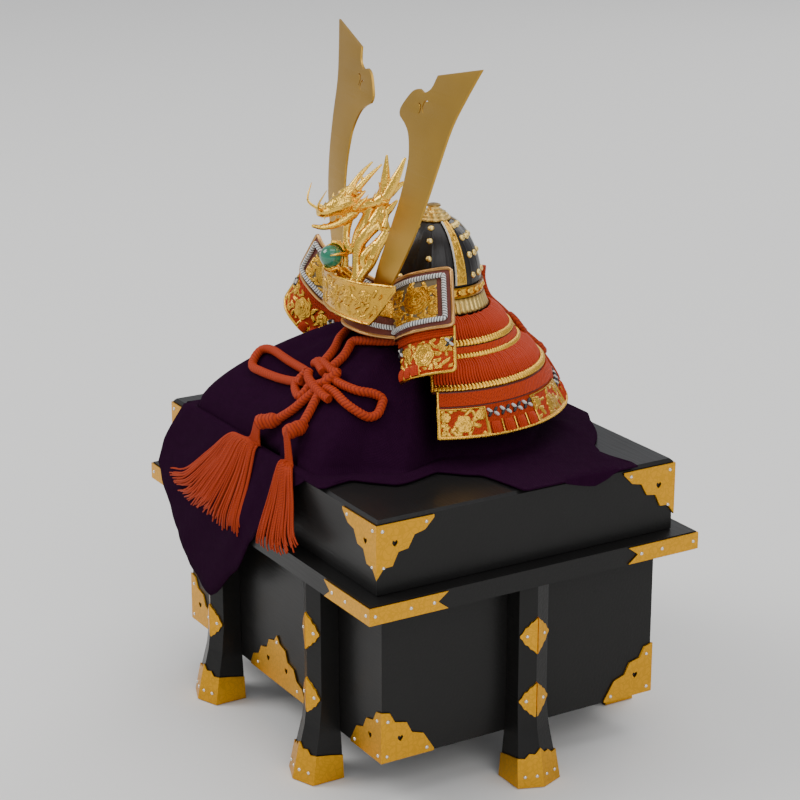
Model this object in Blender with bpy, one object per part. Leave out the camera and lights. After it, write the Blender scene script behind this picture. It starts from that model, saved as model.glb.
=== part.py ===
"""A small display samurai helmet on a cloth-covered post, standing on its lacquered chest.

Metres, +Z up. The front faces -Y and +X is the right side as seen from the front.
The origin is on the floor under the chest's centre.
"""
import math

import bmesh
import bpy
from mathutils import Vector

# Clearances
SEAT_GAP = 0.0003            # between pieces that rest on each other
SKIN_GAP = 0.0006            # between a bent plate and the round surface that it follows

# Chest
BODY_WIDTH = 0.2272
BODY_DEPTH = 0.1768
BODY_LIFT = 0.0269           # floor to the underside of the body
BODY_WALL = 0.006
BODY_RIM = 0.0035            # how far the body's rim stands up inside the lid
LID_HEIGHT = 0.0412
LID_WALL = 0.006
LID_PLAY = 0.0004            # between the lid and the body's rim
LID_ROUND = 0.0015
FLANGE_OVERHANG = 0.0164
FLANGE_HEIGHT = 0.0108

# Legs and their gilt shoes
LEG_HEIGHT = 0.1154
LEG_SPREAD = 0.1182          # between the two front legs
LEG_WIDTH = 0.0188
LEG_SHOULDER = 0.0115        # reach of a leg's side faces
LEG_RIDGE = 0.0152
FOOT_WIDTH = 0.026
FOOT_SHOULDER = 0.0192
FOOT_RIDGE = 0.0242
SHOE_HEIGHT = 0.0215
SHOE_LIFT = 0.0005
GILT_THICKNESS = 0.0007

# Gilt fittings of the chest
LID_PLATE_ARM = 0.034
LID_PLATE_DROP = 0.030
LID_PLATE_INSET = 0.0022     # below the lid's top
FLANGE_PLATE_ARM = 0.048
FLANGE_PLATE_NOTCH = 0.0075
BODY_PLATE_ARM = 0.032
BODY_PLATE_RISE = 0.0297
FRONT_PLATE_WIDTH = 0.066
FRONT_PLATE_RISE = 0.030
FRONT_PLATE_CENTRE = -0.003
HEART_SIZE = 0.0036

# Helmet bowl and band
HELMET_LIFT = 0.0875         # lid's top to the bowl's rim
HELMET_BACK = 0.013          # the bowl's axis stands this far behind the chest's centre
BOWL_RADIUS = 0.0268
BOWL_RISE = 0.0355
BOWL_WALL = 0.0025
BOWL_SIDES = 32
CROWN_RADIUS = 0.0101
CROWN_HEIGHT = 0.0072
STRIP_ANGLE = 13.5           # width of a gilt strip round the bowl, degrees
RING_HEIGHT = 0.0065
RING_STEP = 0.0007           # how far the ring stands proud of the bowl
BAND_HEIGHT = 0.0090
BAND_STEP = 0.0010
BAND_FLARE = 0.0030
BAND_WALL = 0.0040

# Neck guard
GUARD_FORWARD = 0.0028       # the guard's centre stands this far ahead of the bowl's axis
GUARD_DROP = 0.0551
GUARD_RADIUS = 0.0785
GUARD_NECK = 0.0345          # outer radius under the band
GUARD_SEAT = 0.0290          # inner radius of the top edge, under the band
LAME_WALL = 0.002

# Visor
VISOR_REACH = 0.053          # bowl's axis to the rim's front
VISOR_SIDE = 0.0395          # bowl's axis to the rim's ends
VISOR_DROP = 0.0165
VISOR_WALL = 0.0015
VISOR_END = 50.0             # degrees from the front

# Turned-back wings
WING_HEIGHT = 0.035
LOWER_WING_HEIGHT = 0.026
WING_STEP = 0.0037
WING_DROP = 0.0080           # band's foot to the bottom of a wing where it leaves the guard
WING_WALL = 0.0015
WING_TUCK = 0.0028           # how far a lower wing lies behind the upper one

# Crest
CREST_TURN = -7.35           # the crest sits a little turned in its socket, degrees
PLATE_FORWARD = 0.049        # front of the mount plate, from the chest's centre
PLATE_HALF = 0.047
PLATE_CURVE = 0.017
PLATE_WALL = 0.0012
PLATE_RISE = 0.0262
DRAGON_SIZE = 0.075
DRAGON_TRIANGLES = 2000
HORN_SPREAD = 0.0957         # crest's middle to a horn's tip
CURL_WIDTH = 0.0013
HORN_HEIGHT = 0.1336         # foot to tip
HORN_WALL = 0.0013
BALL_RADIUS = 0.0062
BRACKET_WIDTH = 0.007

# Cloth and post
CLOTH_WALL = 0.0012
CLOTH_NECK = 0.0215
CLOTH_NECK_RISE = 0.070      # lid's top to the neck under the helmet
CLOTH_SHOULDER_RISE = 0.056  # lid's top to where the slope begins
CLOTH_SHOULDER = 0.12        # share of a spoke from the neck to the shoulder
CLOTH_REACH = 0.200
CLOTH_DRIFT = 0.8            # how far the hanging part fans out for its fall
POST_BASE_RADIUS = 0.030
POST_BASE_HEIGHT = 0.004
POST_RADIUS = 0.009

# Cords
CORD_DIAMETER = 0.0050
CORD_LIFT = 0.0009           # the cloth's facets stand this much off the true slope
BOW_TRIANGLES = 1200
REAR_CORD_DIAMETER = 0.0038
REAR_TRIANGLES = 800
TASSEL_HEAD = 0.0046
TASSEL_LOCK = 0.0025
TASSEL_TRIANGLES = 520

# Heights and centres that follow from the sizes above
FLANGE_FOOT = LEG_HEIGHT + SEAT_GAP
FLANGE_TOP = FLANGE_FOOT + FLANGE_HEIGHT
LID_FOOT = FLANGE_TOP + SEAT_GAP
LID_TOP = LID_FOOT + LID_HEIGHT
BODY_TOP = LID_FOOT + BODY_RIM
LID_HALF_X = BODY_WIDTH/2 + LID_PLAY + LID_WALL
LID_HALF_Y = BODY_DEPTH/2 + LID_PLAY + LID_WALL
FLANGE_HALF_X = BODY_WIDTH/2 + FLANGE_OVERHANG
FLANGE_HALF_Y = BODY_DEPTH/2 + FLANGE_OVERHANG
BOWL_FOOT = LID_TOP + HELMET_LIFT
RING_FOOT = BOWL_FOOT - RING_HEIGHT
BAND_FOOT = RING_FOOT - BAND_HEIGHT
RING_RADIUS = BOWL_RADIUS + RING_STEP
BAND_TOP_RADIUS = RING_RADIUS + BAND_STEP
BAND_FOOT_RADIUS = BAND_TOP_RADIUS + BAND_FLARE
GUARD_TOP = BAND_FOOT - SEAT_GAP
AXIS = Vector((0, HELMET_BACK, 0))
GUARD_AXIS = Vector((0, HELMET_BACK - GUARD_FORWARD, 0))

# Leg sections: share of the leg's height, share of the foot's flare
LEG_SECTIONS = ((0.0, 1.0), (0.15, 0.60), (0.27, 0.22), (0.40, 0.0), (1.0, 0.0))
# Shoe's top edge: place round the leg's five corners, share of the shoe's height
SHOE_EDGE = ((0.0, 0.62), (0.5, 0.70), (1.0, 0.76), (1.3, 0.74), (1.5, 0.86), (1.75, 0.84), (2.0, 1.0))
# Lower edge of a lid corner plate: share of the arm from the corner, share of the drop
LID_PLATE_EDGE = ((0.0, 1.0), (0.13, 0.80), (0.28, 0.79), (0.38, 0.55), (0.55, 0.52), (0.66, 0.29), (0.84, 0.24), (1.0, 0.05))
# Upper edge of a body corner plate: share of the arm from the corner, share of the rise
BODY_PLATE_EDGE = ((0.0, 1.0), (0.16, 0.96), (0.26, 0.76), (0.48, 0.70), (0.58, 0.48), (0.80, 0.40), (1.0, 0.05))
# Upper edge of the front plate: share of the half width from its centre, share of the rise
FRONT_PLATE_EDGE = ((0.0, 1.0), (0.10, 0.86), (0.30, 0.80), (0.38, 0.60), (0.60, 0.54), (0.70, 0.34), (0.90, 0.26), (1.0, 0.06))
# Neck guard rows: share of the drop, share of the spread, front end in degrees from the front
GUARD_ROWS = ((0.0, 0.0, 60.0), (0.185, 0.232, 60.0), (0.335, 0.368, 58.0), (0.590, 0.705, 60.0),
              (0.727, 0.807, 62.5), (1.0, 1.0, 62.5))
# Bottom edge of each wing, a row for each step: rise and turn in degrees, share of the wing's height
NEAR_WING = ((33, -8, 1.0), (29, 2, 1.0), (27, 7, 1.0), (27, 12, 1.0), (23, 29, 1.0), (16, 46, 1.0),
             (15, 45, 1.0), (14, 44, 1.0), (12, 45, 1.0), (9, 55, 0.97), (7, 57, 0.90))
FAR_WING = ((22, -18, 1.0), (22, -20, 1.0), (22, -22, 1.0), (20, -26, 1.0), (28, -30, 1.0), (38, -30, 1.0), (42, -28, 1.0),
            (42, -24, 1.0), (37, -8, 1.0), (35, 4, 1.0), (42, 21, 0.97), (32, 27, 0.90))
# Where each wing leaves the guard's end: sideways, ahead of the bowl's axis, above the wing's own height
NEAR_START = ((0.0380, 0.0262, -0.0020), (0.0352, 0.0345, -0.0010), (0.0300, 0.0430, 0.0))
FAR_START = ((0.0432, 0.0310, -0.0062), (0.0431, 0.0330, -0.0055), (0.0430, 0.0350, -0.0050))
# Direction from each wing's bottom edge to its fold, at the guard's end and at the outer end
NEAR_RISE = ((-0.59, 0.322, 0.741), (-0.59, 0.322, 0.741))
FAR_RISE = ((0.18, 0.57, 0.59), (0.25, 0.195, 0.585))
# Horn outline in the crest's frame: share of the horn's height above its foot, sideways place in metres
HORN_OUTER = ((0.0, 0.377), (0.08, 0.439), (0.174, 0.529), (0.307, 0.632), (0.46, 0.711), (0.61, 0.765), (0.76, 0.815),
              (0.88, 0.899), (1.0, 1.0))
HORN_TOP = ((0.93, 0.543), (0.875, 0.502), (0.850, 0.430), (0.858, 0.365), (0.835, 0.284), (0.765, 0.198), (0.735, 0.210))
HORN_INNER = ((0.715, 0.282), (0.685, 0.345), (0.63, 0.395), (0.565, 0.418), (0.43, 0.402), (0.27, 0.334), (0.127, 0.254),
              (0.05, 0.224), (0.0, 0.209))
# Mount plate: share of the half width, low and high edge as shares of PLATE_RISE
PLATE_EDGE = ((0.0, 0.107, 0.90), (0.35, 0.099, 0.92), (0.60, 0.092, 0.935), (0.70, 0.099, 0.954), (0.78, 0.267, 0.973),
              (0.88, 0.534, 0.985), (0.96, 0.782, 0.992), (1.0, 0.897, 1.0))
# Dragon strokes, a row for each place: side, forward of the mount plate, height above the bowl's foot
# and radius, all as shares of DRAGON_SIZE
DRAGON = (
    ((0.0, 0.113, 0.596, 0.031), (0.0, 0.051, 0.589, 0.040), (0.0, -0.036, 0.620, 0.060), (0.0, -0.123, 0.641, 0.066),
     (0.013, -0.196, 0.608, 0.048), (0.053, -0.28, 0.627, 0.035), (0.107, -0.327, 0.647, 0.034), (0.16, -0.341, 0.656, 0.032)),
    ((0.0, -0.06, 0.707, 0.021), (0.0, -0.139, 0.729, 0.029), (0.0, -0.195, 0.709, 0.024)),
    ((0.0, 0.161, 0.492, 0.010), (0.0, 0.084, 0.473, 0.018), (0.0, -0.003, 0.480, 0.024), (0.0, -0.099, 0.516, 0.034),
     (0.0, -0.169, 0.563, 0.040)),
    ((-0.04, -0.156, 0.728, 0.021), (-0.053, -0.257, 0.836, 0.016), (-0.067, -0.351, 0.911, 0.006)),
    ((0.04, -0.177, 0.735, 0.021), (0.053, -0.268, 0.827, 0.016), (0.067, -0.369, 0.917, 0.006)),
    ((0.027, -0.144, 0.637, 0.024), (0.04, -0.249, 0.724, 0.007)),
    ((0.04, -0.153, 0.595, 0.024), (0.067, -0.241, 0.675, 0.007)),
    ((0.027, -0.175, 0.560, 0.022), (0.04, -0.233, 0.632, 0.007)),
    ((0.053, -0.319, 0.639, 0.034), (0.053, -0.243, 0.503, 0.036), (0.08, -0.176, 0.409, 0.036), (0.107, -0.136, 0.321, 0.030)),
    ((0.16, -0.349, 0.551, 0.034), (0.16, -0.273, 0.489, 0.040), (0.16, -0.197, 0.425, 0.040), (0.147, -0.148, 0.339, 0.034),
     (0.16, -0.127, 0.227, 0.030), (0.187, -0.11, 0.14, 0.028), (0.187, -0.062, 0.05, 0.026)),
    ((0.24, -0.331, 0.449, 0.028), (0.24, -0.259, 0.349, 0.034), (0.24, -0.201, 0.229, 0.032), (0.24, -0.14, 0.15, 0.028),
     (0.24, -0.085, 0.06, 0.024)),
    ((0.227, -0.253, 0.372, 0.024), (0.227, -0.152, 0.277, 0.024), (0.24, -0.164, 0.173, 0.020)),
    ((0.0, -0.139, 0.543, 0.029), (0.0, -0.113, 0.417, 0.024), (0.053, -0.099, 0.325, 0.022), (0.107, -0.14, 0.303, 0.024)),
    ((0.16, -0.341, 0.656, 0.034), (0.16, -0.357, 0.817, 0.030), (0.16, -0.367, 1.005, 0.007)),
    ((0.213, -0.333, 0.697, 0.032), (0.227, -0.415, 0.848, 0.028), (0.24, -0.480, 0.989, 0.008)),
    ((0.16, -0.283, 0.653, 0.032), (0.20, -0.379, 0.735, 0.032), (0.24, -0.473, 0.812, 0.008)),
    ((0.187, -0.321, 0.559, 0.028), (0.227, -0.368, 0.623, 0.022), (0.267, -0.405, 0.687, 0.008)),
    ((0.16, -0.341, 0.656, 0.034), (0.213, -0.333, 0.697, 0.032)),
    ((0.16, -0.341, 0.656, 0.032), (0.16, -0.309, 0.584, 0.034), (0.16, -0.245, 0.50, 0.034)),
    ((0.16, -0.349, 0.551, 0.034), (0.187, -0.321, 0.559, 0.028), (0.24, -0.331, 0.449, 0.028)),
    ((0.0, -0.06, 0.03, 0.028), (0.0, -0.09, 0.12, 0.026), (0.0, -0.10, 0.25, 0.020), (0.0, -0.055, 0.335, 0.018),
     (0.0, 0.01, 0.357, 0.012)),
    ((0.0, -0.07, 0.10, 0.024), (0.0, -0.035, 0.150, 0.020), (0.0, 0.03, 0.148, 0.016), (0.0, 0.075, 0.175, 0.010)),
    ((0.0, -0.09, 0.14, 0.022), (0.08, -0.10, 0.12, 0.022), (0.187, -0.11, 0.10, 0.026)),
    ((0.0, -0.10, 0.25, 0.018), (0.05, -0.105, 0.28, 0.018), (0.107, -0.14, 0.303, 0.022)))
# Cloth, a row for each spoke from the bowl's axis: degrees from the front, foot and reach as shares of
# CLOTH_REACH, how hollow the slope is, and how far it hangs over the chest's edge as a share of CLOTH_REACH
CLOTH_SPOKES = (
    (-180, 0.30, 1.4, 0.46, 0.0), (-158, 0.30, 1.4, 0.44, 0.0), (-136, 0.31, 1.4, 0.46, 0.0), (-114, 0.33, 1.4, 0.52, 0.0),
    (-94, 0.36, 1.4, 0.53, 0.0), (-76, 0.39, 1.3, 0.56, 0.0), (-62, 0.43, 1.2, 0.62, 0.0), (-56, 0.50, 1.05, 0.66, 0.0),
    (-51, 0.62, 0.82, 0.74, 0.0), (-46, 0.72, 0.64, 0.80, 0.0), (-42, 0.70, 0.62, 0.80, 0.19), (-38, 0.68, 0.60, 0.80, 0.25),
    (-31, 0.62, 0.60, 0.80, 0.36),
    (-23, 0.57, 0.61, 0.80, 0.46), (-15, 0.55, 0.615, 0.80, 0.50), (-7, 0.54, 0.615, 0.80, 0.38), (1, 0.54, 0.615, 0.80, 0.24),
    (5, 0.54, 0.615, 0.80, 0.19), (10, 0.54, 0.615, 0.80, 0.11), (17, 0.54, 0.63, 0.80, 0.04), (25, 0.56, 0.68, 0.80, 0.0), (35, 0.48, 0.80, 0.53, 0.0),
    (48, 0.46, 0.95, 0.53, 0.0), (60, 0.33, 1.15, 0.42, 0.0), (74, 0.32, 1.3, 0.46, 0.0), (90, 0.34, 1.3, 0.80, 0.0),
    (102, 0.34, 1.3, 0.80, 0.03), (112, 0.34, 1.3, 0.80, 0.0), (124, 0.32, 1.3, 0.50, 0.0), (150, 0.30, 1.4, 0.44, 0.0),
    (180, 0.30, 1.4, 0.46, 0.0))

# Two curls cut through each horn: side, rise, radius, start and end in degrees
HORN_CURLS = ((0.485, 0.800, 0.034, 60, 250), (0.400, 0.785, 0.030, 300, 470))

# Cord routes lie on the cloth: side, forward from the chest's centre, and how many diameters above the cloth
LOOP_ROUTE = ((-0.0035, 0.0505, 0.0), (-0.0098, 0.0437, 0.0), (-0.0163, 0.0367, 0.0), (-0.0215, 0.0270, 0.1),
              (-0.0265, 0.0120, 0.2), (-0.0305, -0.0020, 0.2), (-0.0315, -0.0150, 0.2), (-0.0265, -0.0300, 0.2),
              (-0.0150, -0.0410, 0.2), (0.0, -0.0450, 0.2), (0.0150, -0.0410, 0.2), (0.0265, -0.0300, 0.2), (0.0315, -0.0150, 0.2),
              (0.0305, -0.0020, 0.2), (0.0260, 0.0120, 0.2), (0.0180, 0.0255, 0.2), (0.0070, 0.0340, 0.1), (0.0008, 0.0385, 0.0),
              (0.0024, 0.0430, 0.0), (0.0044, 0.0475, 0.0))
BOW_LEFT = ((-0.0065, 0.0636, 0.3), (-0.0130, 0.0610, 0.1), (-0.0330, 0.0607, 0.0), (-0.0540, 0.0600, 0.0), (-0.0620, 0.0625, 0.0),
            (-0.0620, 0.0672, 0.0), (-0.0575, 0.0709, 0.0), (-0.0460, 0.0714, 0.0), (-0.0300, 0.0694, 0.0), (-0.0147, 0.0681, 0.1),
            (-0.0035, 0.0679, 0.3))
BOW_RIGHT = ((0.0100, 0.0610, 0.3), (0.0155, 0.0593, 0.3), (0.0217, 0.0583, 0.1), (0.0312, 0.0548, 0.0), (0.0348, 0.0479, 0.0),
             (0.0380, 0.0439, 0.0), (0.0407, 0.0449, 0.0), (0.0421, 0.0496, 0.0), (0.0416, 0.0551, 0.0), (0.0391, 0.0594, 0.0),
             (0.0334, 0.0625, 0.0), (0.0230, 0.0630, 0.1), (0.0157, 0.0645, 0.3))
BOW_TOP = ((0.0060, 0.0600, 0.5), (-0.0054, 0.0570, 0.2), (-0.0110, 0.0560, 0.1), (-0.0075, 0.0548, 0.1), (0.0020, 0.0560, 0.3),
           (0.0110, 0.0570, 0.4), (0.0149, 0.0560, 0.4))
BOW_CORNER = ((-0.0049, 0.0640, 0.5), (-0.0083, 0.0690, 0.1), (-0.0021, 0.0724, 0.1), (0.0038, 0.0725, 0.2), (0.0048, 0.0660, 0.5))
BOW_OVER = ((-0.0030, 0.0640, 0.7), (0.0010, 0.0666, 0.8), (0.0096, 0.0681, 0.8), (0.0191, 0.0683, 0.5), (0.0251, 0.0673, 0.2))
BOW_UNDER = ((0.0149, 0.0560, 0.4), (0.0154, 0.0600, 0.7), (0.0145, 0.0638, 0.7), (0.0090, 0.0663, 0.4))
TAIL_LEFT = ((0.0122, 0.0650, 0.3), (0.0085, 0.0728, 0.1), (0.0045, 0.0785, 0.0), (0.0016, 0.0812, 0.1))
TAIL_RIGHT = ((0.0145, 0.0660, 0.3), (0.0173, 0.0726, 0.1), (0.0190, 0.0762, 0.0), (0.0202, 0.0785, 0.1))
# Tassel heads on the cloth, as in a cord's route, and the tips of the locks: side, drop below the lid's top
HEAD_LEFT = (-0.0060, 0.0868, 0.35)
HEAD_RIGHT = (0.0222, 0.0850, 0.35)
TIPS_LEFT = ((-0.1000, 0.037), (-0.0887, 0.044), (-0.0714, 0.0475), (-0.0516, 0.0475), (-0.0312, 0.0505), (-0.0080, 0.047))
TIPS_RIGHT = ((0.0111, 0.044), (0.0254, 0.0445), (0.0407, 0.041), (0.0580, 0.034))
# Rear cord on the neck guard: sideways round the back, height above the bowl's foot, and how many
# diameters above the surface. The routes are the right-hand ones, and the left-hand ones mirror them.
REAR_LINE = ((0.0, 0.0020, 0.0), (0.0, -0.0065, 0.0), (0.0, -0.0165, 0.0), (0.0, -0.0250, 0.1), (0.0, -0.0310, 0.5))
REAR_LOOP = ((0.0010, -0.0310, 0.4), (0.0090, -0.0270, 0.0), (0.0170, -0.0280, 0.0), (0.0185, -0.0335, 0.0),
             (0.0130, -0.0360, 0.0), (0.0010, -0.0335, 0.4))
REAR_TAIL = ((0.0010, -0.0335, 0.4), (0.0065, -0.0400, 0.0), (0.0090, -0.0460, 0.0), (0.0095, -0.0500, 0.0))
REAR_LOCKS = (0.0045, 0.0095, 0.0145)
REAR_LOCK_DROP = 0.0690


def clear_scene():
    for item in list(bpy.data.objects):
        bpy.data.objects.remove(item, do_unlink=True)


def material(name, colour, roughness, metallic):
    made = bpy.data.materials.new(name)
    made.use_nodes = True
    shader = made.node_tree.nodes["Principled BSDF"]
    shader.inputs["Base Color"].default_value = (*colour, 1)
    shader.inputs["Roughness"].default_value = roughness
    shader.inputs["Metallic"].default_value = metallic
    return made


def add_mesh(name, points, faces, paint, smooth=None):
    """Make a closed mesh object with its faces turned outwards."""
    mesh = bpy.data.meshes.new(name)
    mesh.from_pydata([tuple(p) for p in points], [], faces)
    work = bmesh.new()
    work.from_mesh(mesh)
    bmesh.ops.recalc_face_normals(work, faces=work.faces)
    work.to_mesh(mesh)
    work.free()
    if smooth is not None:
        mesh.shade_smooth()
        mesh.set_sharp_from_angle(angle=math.radians(smooth))
    made = bpy.data.objects.new(name, mesh)
    bpy.context.collection.objects.link(made)
    if paint is not None:
        made.data.materials.append(paint)
    return made


def loft(name, rings, paint, closed=False, smooth=None):
    """Join rings of equal length. The ends are capped, or the last ring meets the first."""
    count = len(rings[0])
    points = [p for ring in rings for p in ring]
    faces = []
    pairs = len(rings) if closed else len(rings) - 1
    for row in range(pairs):
        low = row*count
        high = (row + 1) % len(rings)*count
        for i in range(count):
            j = (i + 1) % count
            faces.append((low + i, low + j, high + j, high + i))
    if not closed:
        faces.append(tuple(range(count - 1, -1, -1)))
        faces.append(tuple((len(rings) - 1)*count + i for i in range(count)))
    return add_mesh(name, points, faces, paint, smooth)


def rectangle(half_x, half_y, z):
    return [Vector((-half_x, -half_y, z)), Vector((half_x, -half_y, z)), Vector((half_x, half_y, z)), Vector((-half_x, half_y, z))]


def turned(name, profile, centre, paint, sides=BOWL_SIDES, closed=False, smooth=40):
    """Turn a profile of (radius, height) pairs about a vertical axis."""
    rings = []
    for radius, z in profile:
        rings.append([Vector((centre.x + radius*math.sin(math.tau*i/sides), centre.y - radius*math.cos(math.tau*i/sides), z))
                      for i in range(sides)])
    return loft(name, rings, paint, closed, smooth)


def between(table, x, column=1):
    """Read a table with a rising first column, with straight lines between its rows."""
    if x <= table[0][0]:
        return table[0][column]
    for low, high in zip(table, table[1:]):
        if x <= high[0]:
            share = (x - low[0])/(high[0] - low[0])
            return low[column] + share*(high[column] - low[column])
    return table[-1][column]


def smooth_route(points, spacing):
    """Points at an even spacing along a smooth curve through the route's own points."""
    ends = [points[0]*2 - points[1]] + list(points) + [points[-1]*2 - points[-2]]
    fine = []
    for a, b, c, d in zip(ends, ends[1:], ends[2:], ends[3:]):
        for step in range(24):
            t = step/24
            fine.append(((b*2) + (c - a)*t + (a*2 - b*5 + c*4 - d)*t*t + (b*3 - a - c*3 + d)*t*t*t)*0.5)
    fine.append(points[-1].copy())
    lengths = [0.0]
    for a, b in zip(fine, fine[1:]):
        lengths.append(lengths[-1] + (b - a).length)
    count = max(2, round(lengths[-1]/spacing))
    route, at = [], 0
    for i in range(count + 1):
        want = lengths[-1]*i/count
        while at < len(fine) - 2 and lengths[at + 1] < want:
            at += 1
        span = max(lengths[at + 1] - lengths[at], 1e-9)
        route.append(fine[at].lerp(fine[at + 1], min(1.0, (want - lengths[at])/span)))
    return route


def tube(name, route, diameter, paint):
    """A cord: a round bevel along a poly curve with filled ends."""
    curve = bpy.data.curves.new(name, "CURVE")
    curve.dimensions = "3D"
    curve.bevel_depth = diameter/2
    curve.bevel_resolution = 2
    curve.use_fill_caps = True
    spline = curve.splines.new("POLY")
    spline.points.add(len(route) - 1)
    for point, place in zip(spline.points, route):
        point.co = (*place, 1)
    made = bpy.data.objects.new(name, curve)
    bpy.context.collection.objects.link(made)
    curve.materials.append(paint)
    return made


def taper(route, radii, sides=8):
    """Points and faces of a tapered tube along a route, as one closed body."""
    rings = []
    side = None
    for i, place in enumerate(route):
        along = (route[min(i + 1, len(route) - 1)] - route[max(i - 1, 0)]).normalized()
        if side is None:
            side = along.orthogonal().normalized()
        side = (side - along*side.dot(along)).normalized()
        up = along.cross(side)
        rings.append([place + (side*math.cos(math.tau*k/sides) + up*math.sin(math.tau*k/sides))*radii[i] for k in range(sides)])
    points = [p for ring in rings for p in ring]
    faces = []
    for row in range(len(rings) - 1):
        for k in range(sides):
            n = (k + 1) % sides
            faces.append((row*sides + k, row*sides + n, row*sides + sides + n, row*sides + sides + k))
    faces.append(tuple(range(sides - 1, -1, -1)))
    faces.append(tuple((len(rings) - 1)*sides + k for k in range(sides)))
    return points, faces


def fused(name, bodies, paint, voxel, triangles):
    """Fuse overlapping bodies into one skin and thin it to about the stated triangles."""
    points, faces = [], []
    for body_points, body_faces in bodies:
        first = len(points)
        points += body_points
        faces += [tuple(i + first for i in face) for face in body_faces]
    made = add_mesh(name, points, faces, paint, 60)
    remesh = made.modifiers.new("fuse", "REMESH")
    remesh.mode = "VOXEL"
    remesh.voxel_size = voxel
    remesh.use_smooth_shade = True
    graph = bpy.context.evaluated_depsgraph_get()
    whole = made.evaluated_get(graph).to_mesh()
    whole.calc_loop_triangles()
    ratio = min(1.0, triangles/max(1, len(whole.loop_triangles)))
    made.evaluated_get(graph).to_mesh_clear()
    thin = made.modifiers.new("thin", "DECIMATE")
    thin.ratio = ratio
    return made


def cut(target, cutter):
    """Cut one body out of another, and keep the cutter as a hidden guide."""
    cutter.hide_render = True
    cutter.display_type = "WIRE"
    boolean = target.modifiers.new("cut", "BOOLEAN")
    boolean.operation = "DIFFERENCE"
    boolean.solver = "EXACT"
    boolean.object = cutter


def offset_path(path, distance):
    """Move a plan path sideways, to its right as it runs, with mitred corners."""
    moved = []
    for i, place in enumerate(path):
        normals = []
        if i > 0:
            step = (place - path[i - 1]).normalized()
            normals.append(Vector((step.y, -step.x)))
        if i < len(path) - 1:
            step = (path[i + 1] - place).normalized()
            normals.append(Vector((step.y, -step.x)))
        middle = sum(normals, Vector((0, 0))).normalized()
        moved.append(place + middle*(distance/middle.dot(normals[0])))
    return moved


def along_path(path, place):
    """A point on a plan path: the whole number is the corner, the rest the share of the next run."""
    first = min(int(place), len(path) - 2)
    return path[first].lerp(path[first + 1], place - first)


def bent_plate(name, path_at, columns, gap, thickness, paint):
    """A thin plate bent round a plan path, with a low and a high edge for each column."""
    rings = []
    for place, low, high in columns:
        ring = []
        for z, distance in ((low, gap), (high, gap), (high, gap + thickness), (low, gap + thickness)):
            spot = along_path(offset_path(path_at(z), distance), place)
            ring.append(Vector((spot.x, spot.y, z)))
        rings.append(ring)
    return loft(name, rings, paint)


def corner_path(half_x, half_y, sign_x, sign_y, arm):
    """Plan path round one corner of a box, with the outside on its right."""
    corner = Vector((sign_x*half_x, sign_y*half_y))
    on_x = corner - Vector((sign_x*arm, 0))
    on_y = corner - Vector((0, sign_y*arm))
    return [on_x, corner, on_y] if sign_x*sign_y < 0 else [on_y, corner, on_x]


CORNERS = (("front_left", -1, -1), ("front_right", 1, -1), ("back_left", -1, 1), ("back_right", 1, 1))


def heart_prism(centre, across, up, out, size, depth):
    """A heart-shaped prism whose axis is the direction out."""
    outline = ((0.0, -0.5), (0.30, -0.22), (0.48, 0.12), (0.40, 0.40), (0.20, 0.46), (0.0, 0.26),
               (-0.20, 0.46), (-0.40, 0.40), (-0.48, 0.12), (-0.30, -0.22))
    points = []
    for side in (-depth, depth):
        points += [centre + across*(u*size) + up*(v*size) + out*side for u, v in outline]
    count = len(outline)
    faces = [tuple(range(count - 1, -1, -1)), tuple(range(count, 2*count))]
    faces += [(i, (i + 1) % count, count + (i + 1) % count, count + i) for i in range(count)]
    return points, faces


def cutter_of(name, bodies):
    points, faces = [], []
    for body_points, body_faces in bodies:
        first = len(points)
        points += body_points
        faces += [tuple(i + first for i in face) for face in body_faces]
    return add_mesh(name, points, faces, None)


def corner_hearts(half_x, half_y, sign_x, sign_y, away, z):
    """Two heart prisms, one on each face beside a corner."""
    on_front = Vector((sign_x*(half_x - away), sign_y*half_y, z))
    on_side = Vector((sign_x*half_x, sign_y*(half_y - away), z))
    up = Vector((0, 0, 1))
    deep = SEAT_GAP + 3*GILT_THICKNESS
    return [heart_prism(on_front, Vector((1, 0, 0)), up, Vector((0, 1, 0)), HEART_SIZE, deep),
            heart_prism(on_side, Vector((0, 1, 0)), up, Vector((1, 0, 0)), HEART_SIZE, deep)]


def chest_body(lacquer):
    x, y = BODY_WIDTH/2, BODY_DEPTH/2
    loft("chest_body", [rectangle(x - BODY_WALL, y - BODY_WALL, BODY_LIFT + BODY_WALL),
                        rectangle(x - BODY_WALL, y - BODY_WALL, BODY_TOP),
                        rectangle(x, y, BODY_TOP), rectangle(x, y, BODY_LIFT)], lacquer)


def chest_lid(lacquer):
    x, y = LID_HALF_X, LID_HALF_Y
    loft("chest_lid", [rectangle(x - LID_WALL, y - LID_WALL, LID_TOP - LID_WALL),
                       rectangle(x - LID_WALL, y - LID_WALL, LID_FOOT), rectangle(x, y, LID_FOOT),
                       rectangle(x, y, LID_TOP - LID_ROUND), rectangle(x - LID_ROUND, y - LID_ROUND, LID_TOP)], lacquer)


def chest_flange(lacquer):
    x, y = BODY_WIDTH/2 + SEAT_GAP, BODY_DEPTH/2 + SEAT_GAP
    loft("chest_flange", [rectangle(x, y, FLANGE_FOOT), rectangle(x, y, FLANGE_TOP),
                          rectangle(FLANGE_HALF_X, FLANGE_HALF_Y, FLANGE_TOP),
                          rectangle(FLANGE_HALF_X, FLANGE_HALF_Y, FLANGE_FOOT)], lacquer, closed=True)


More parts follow.
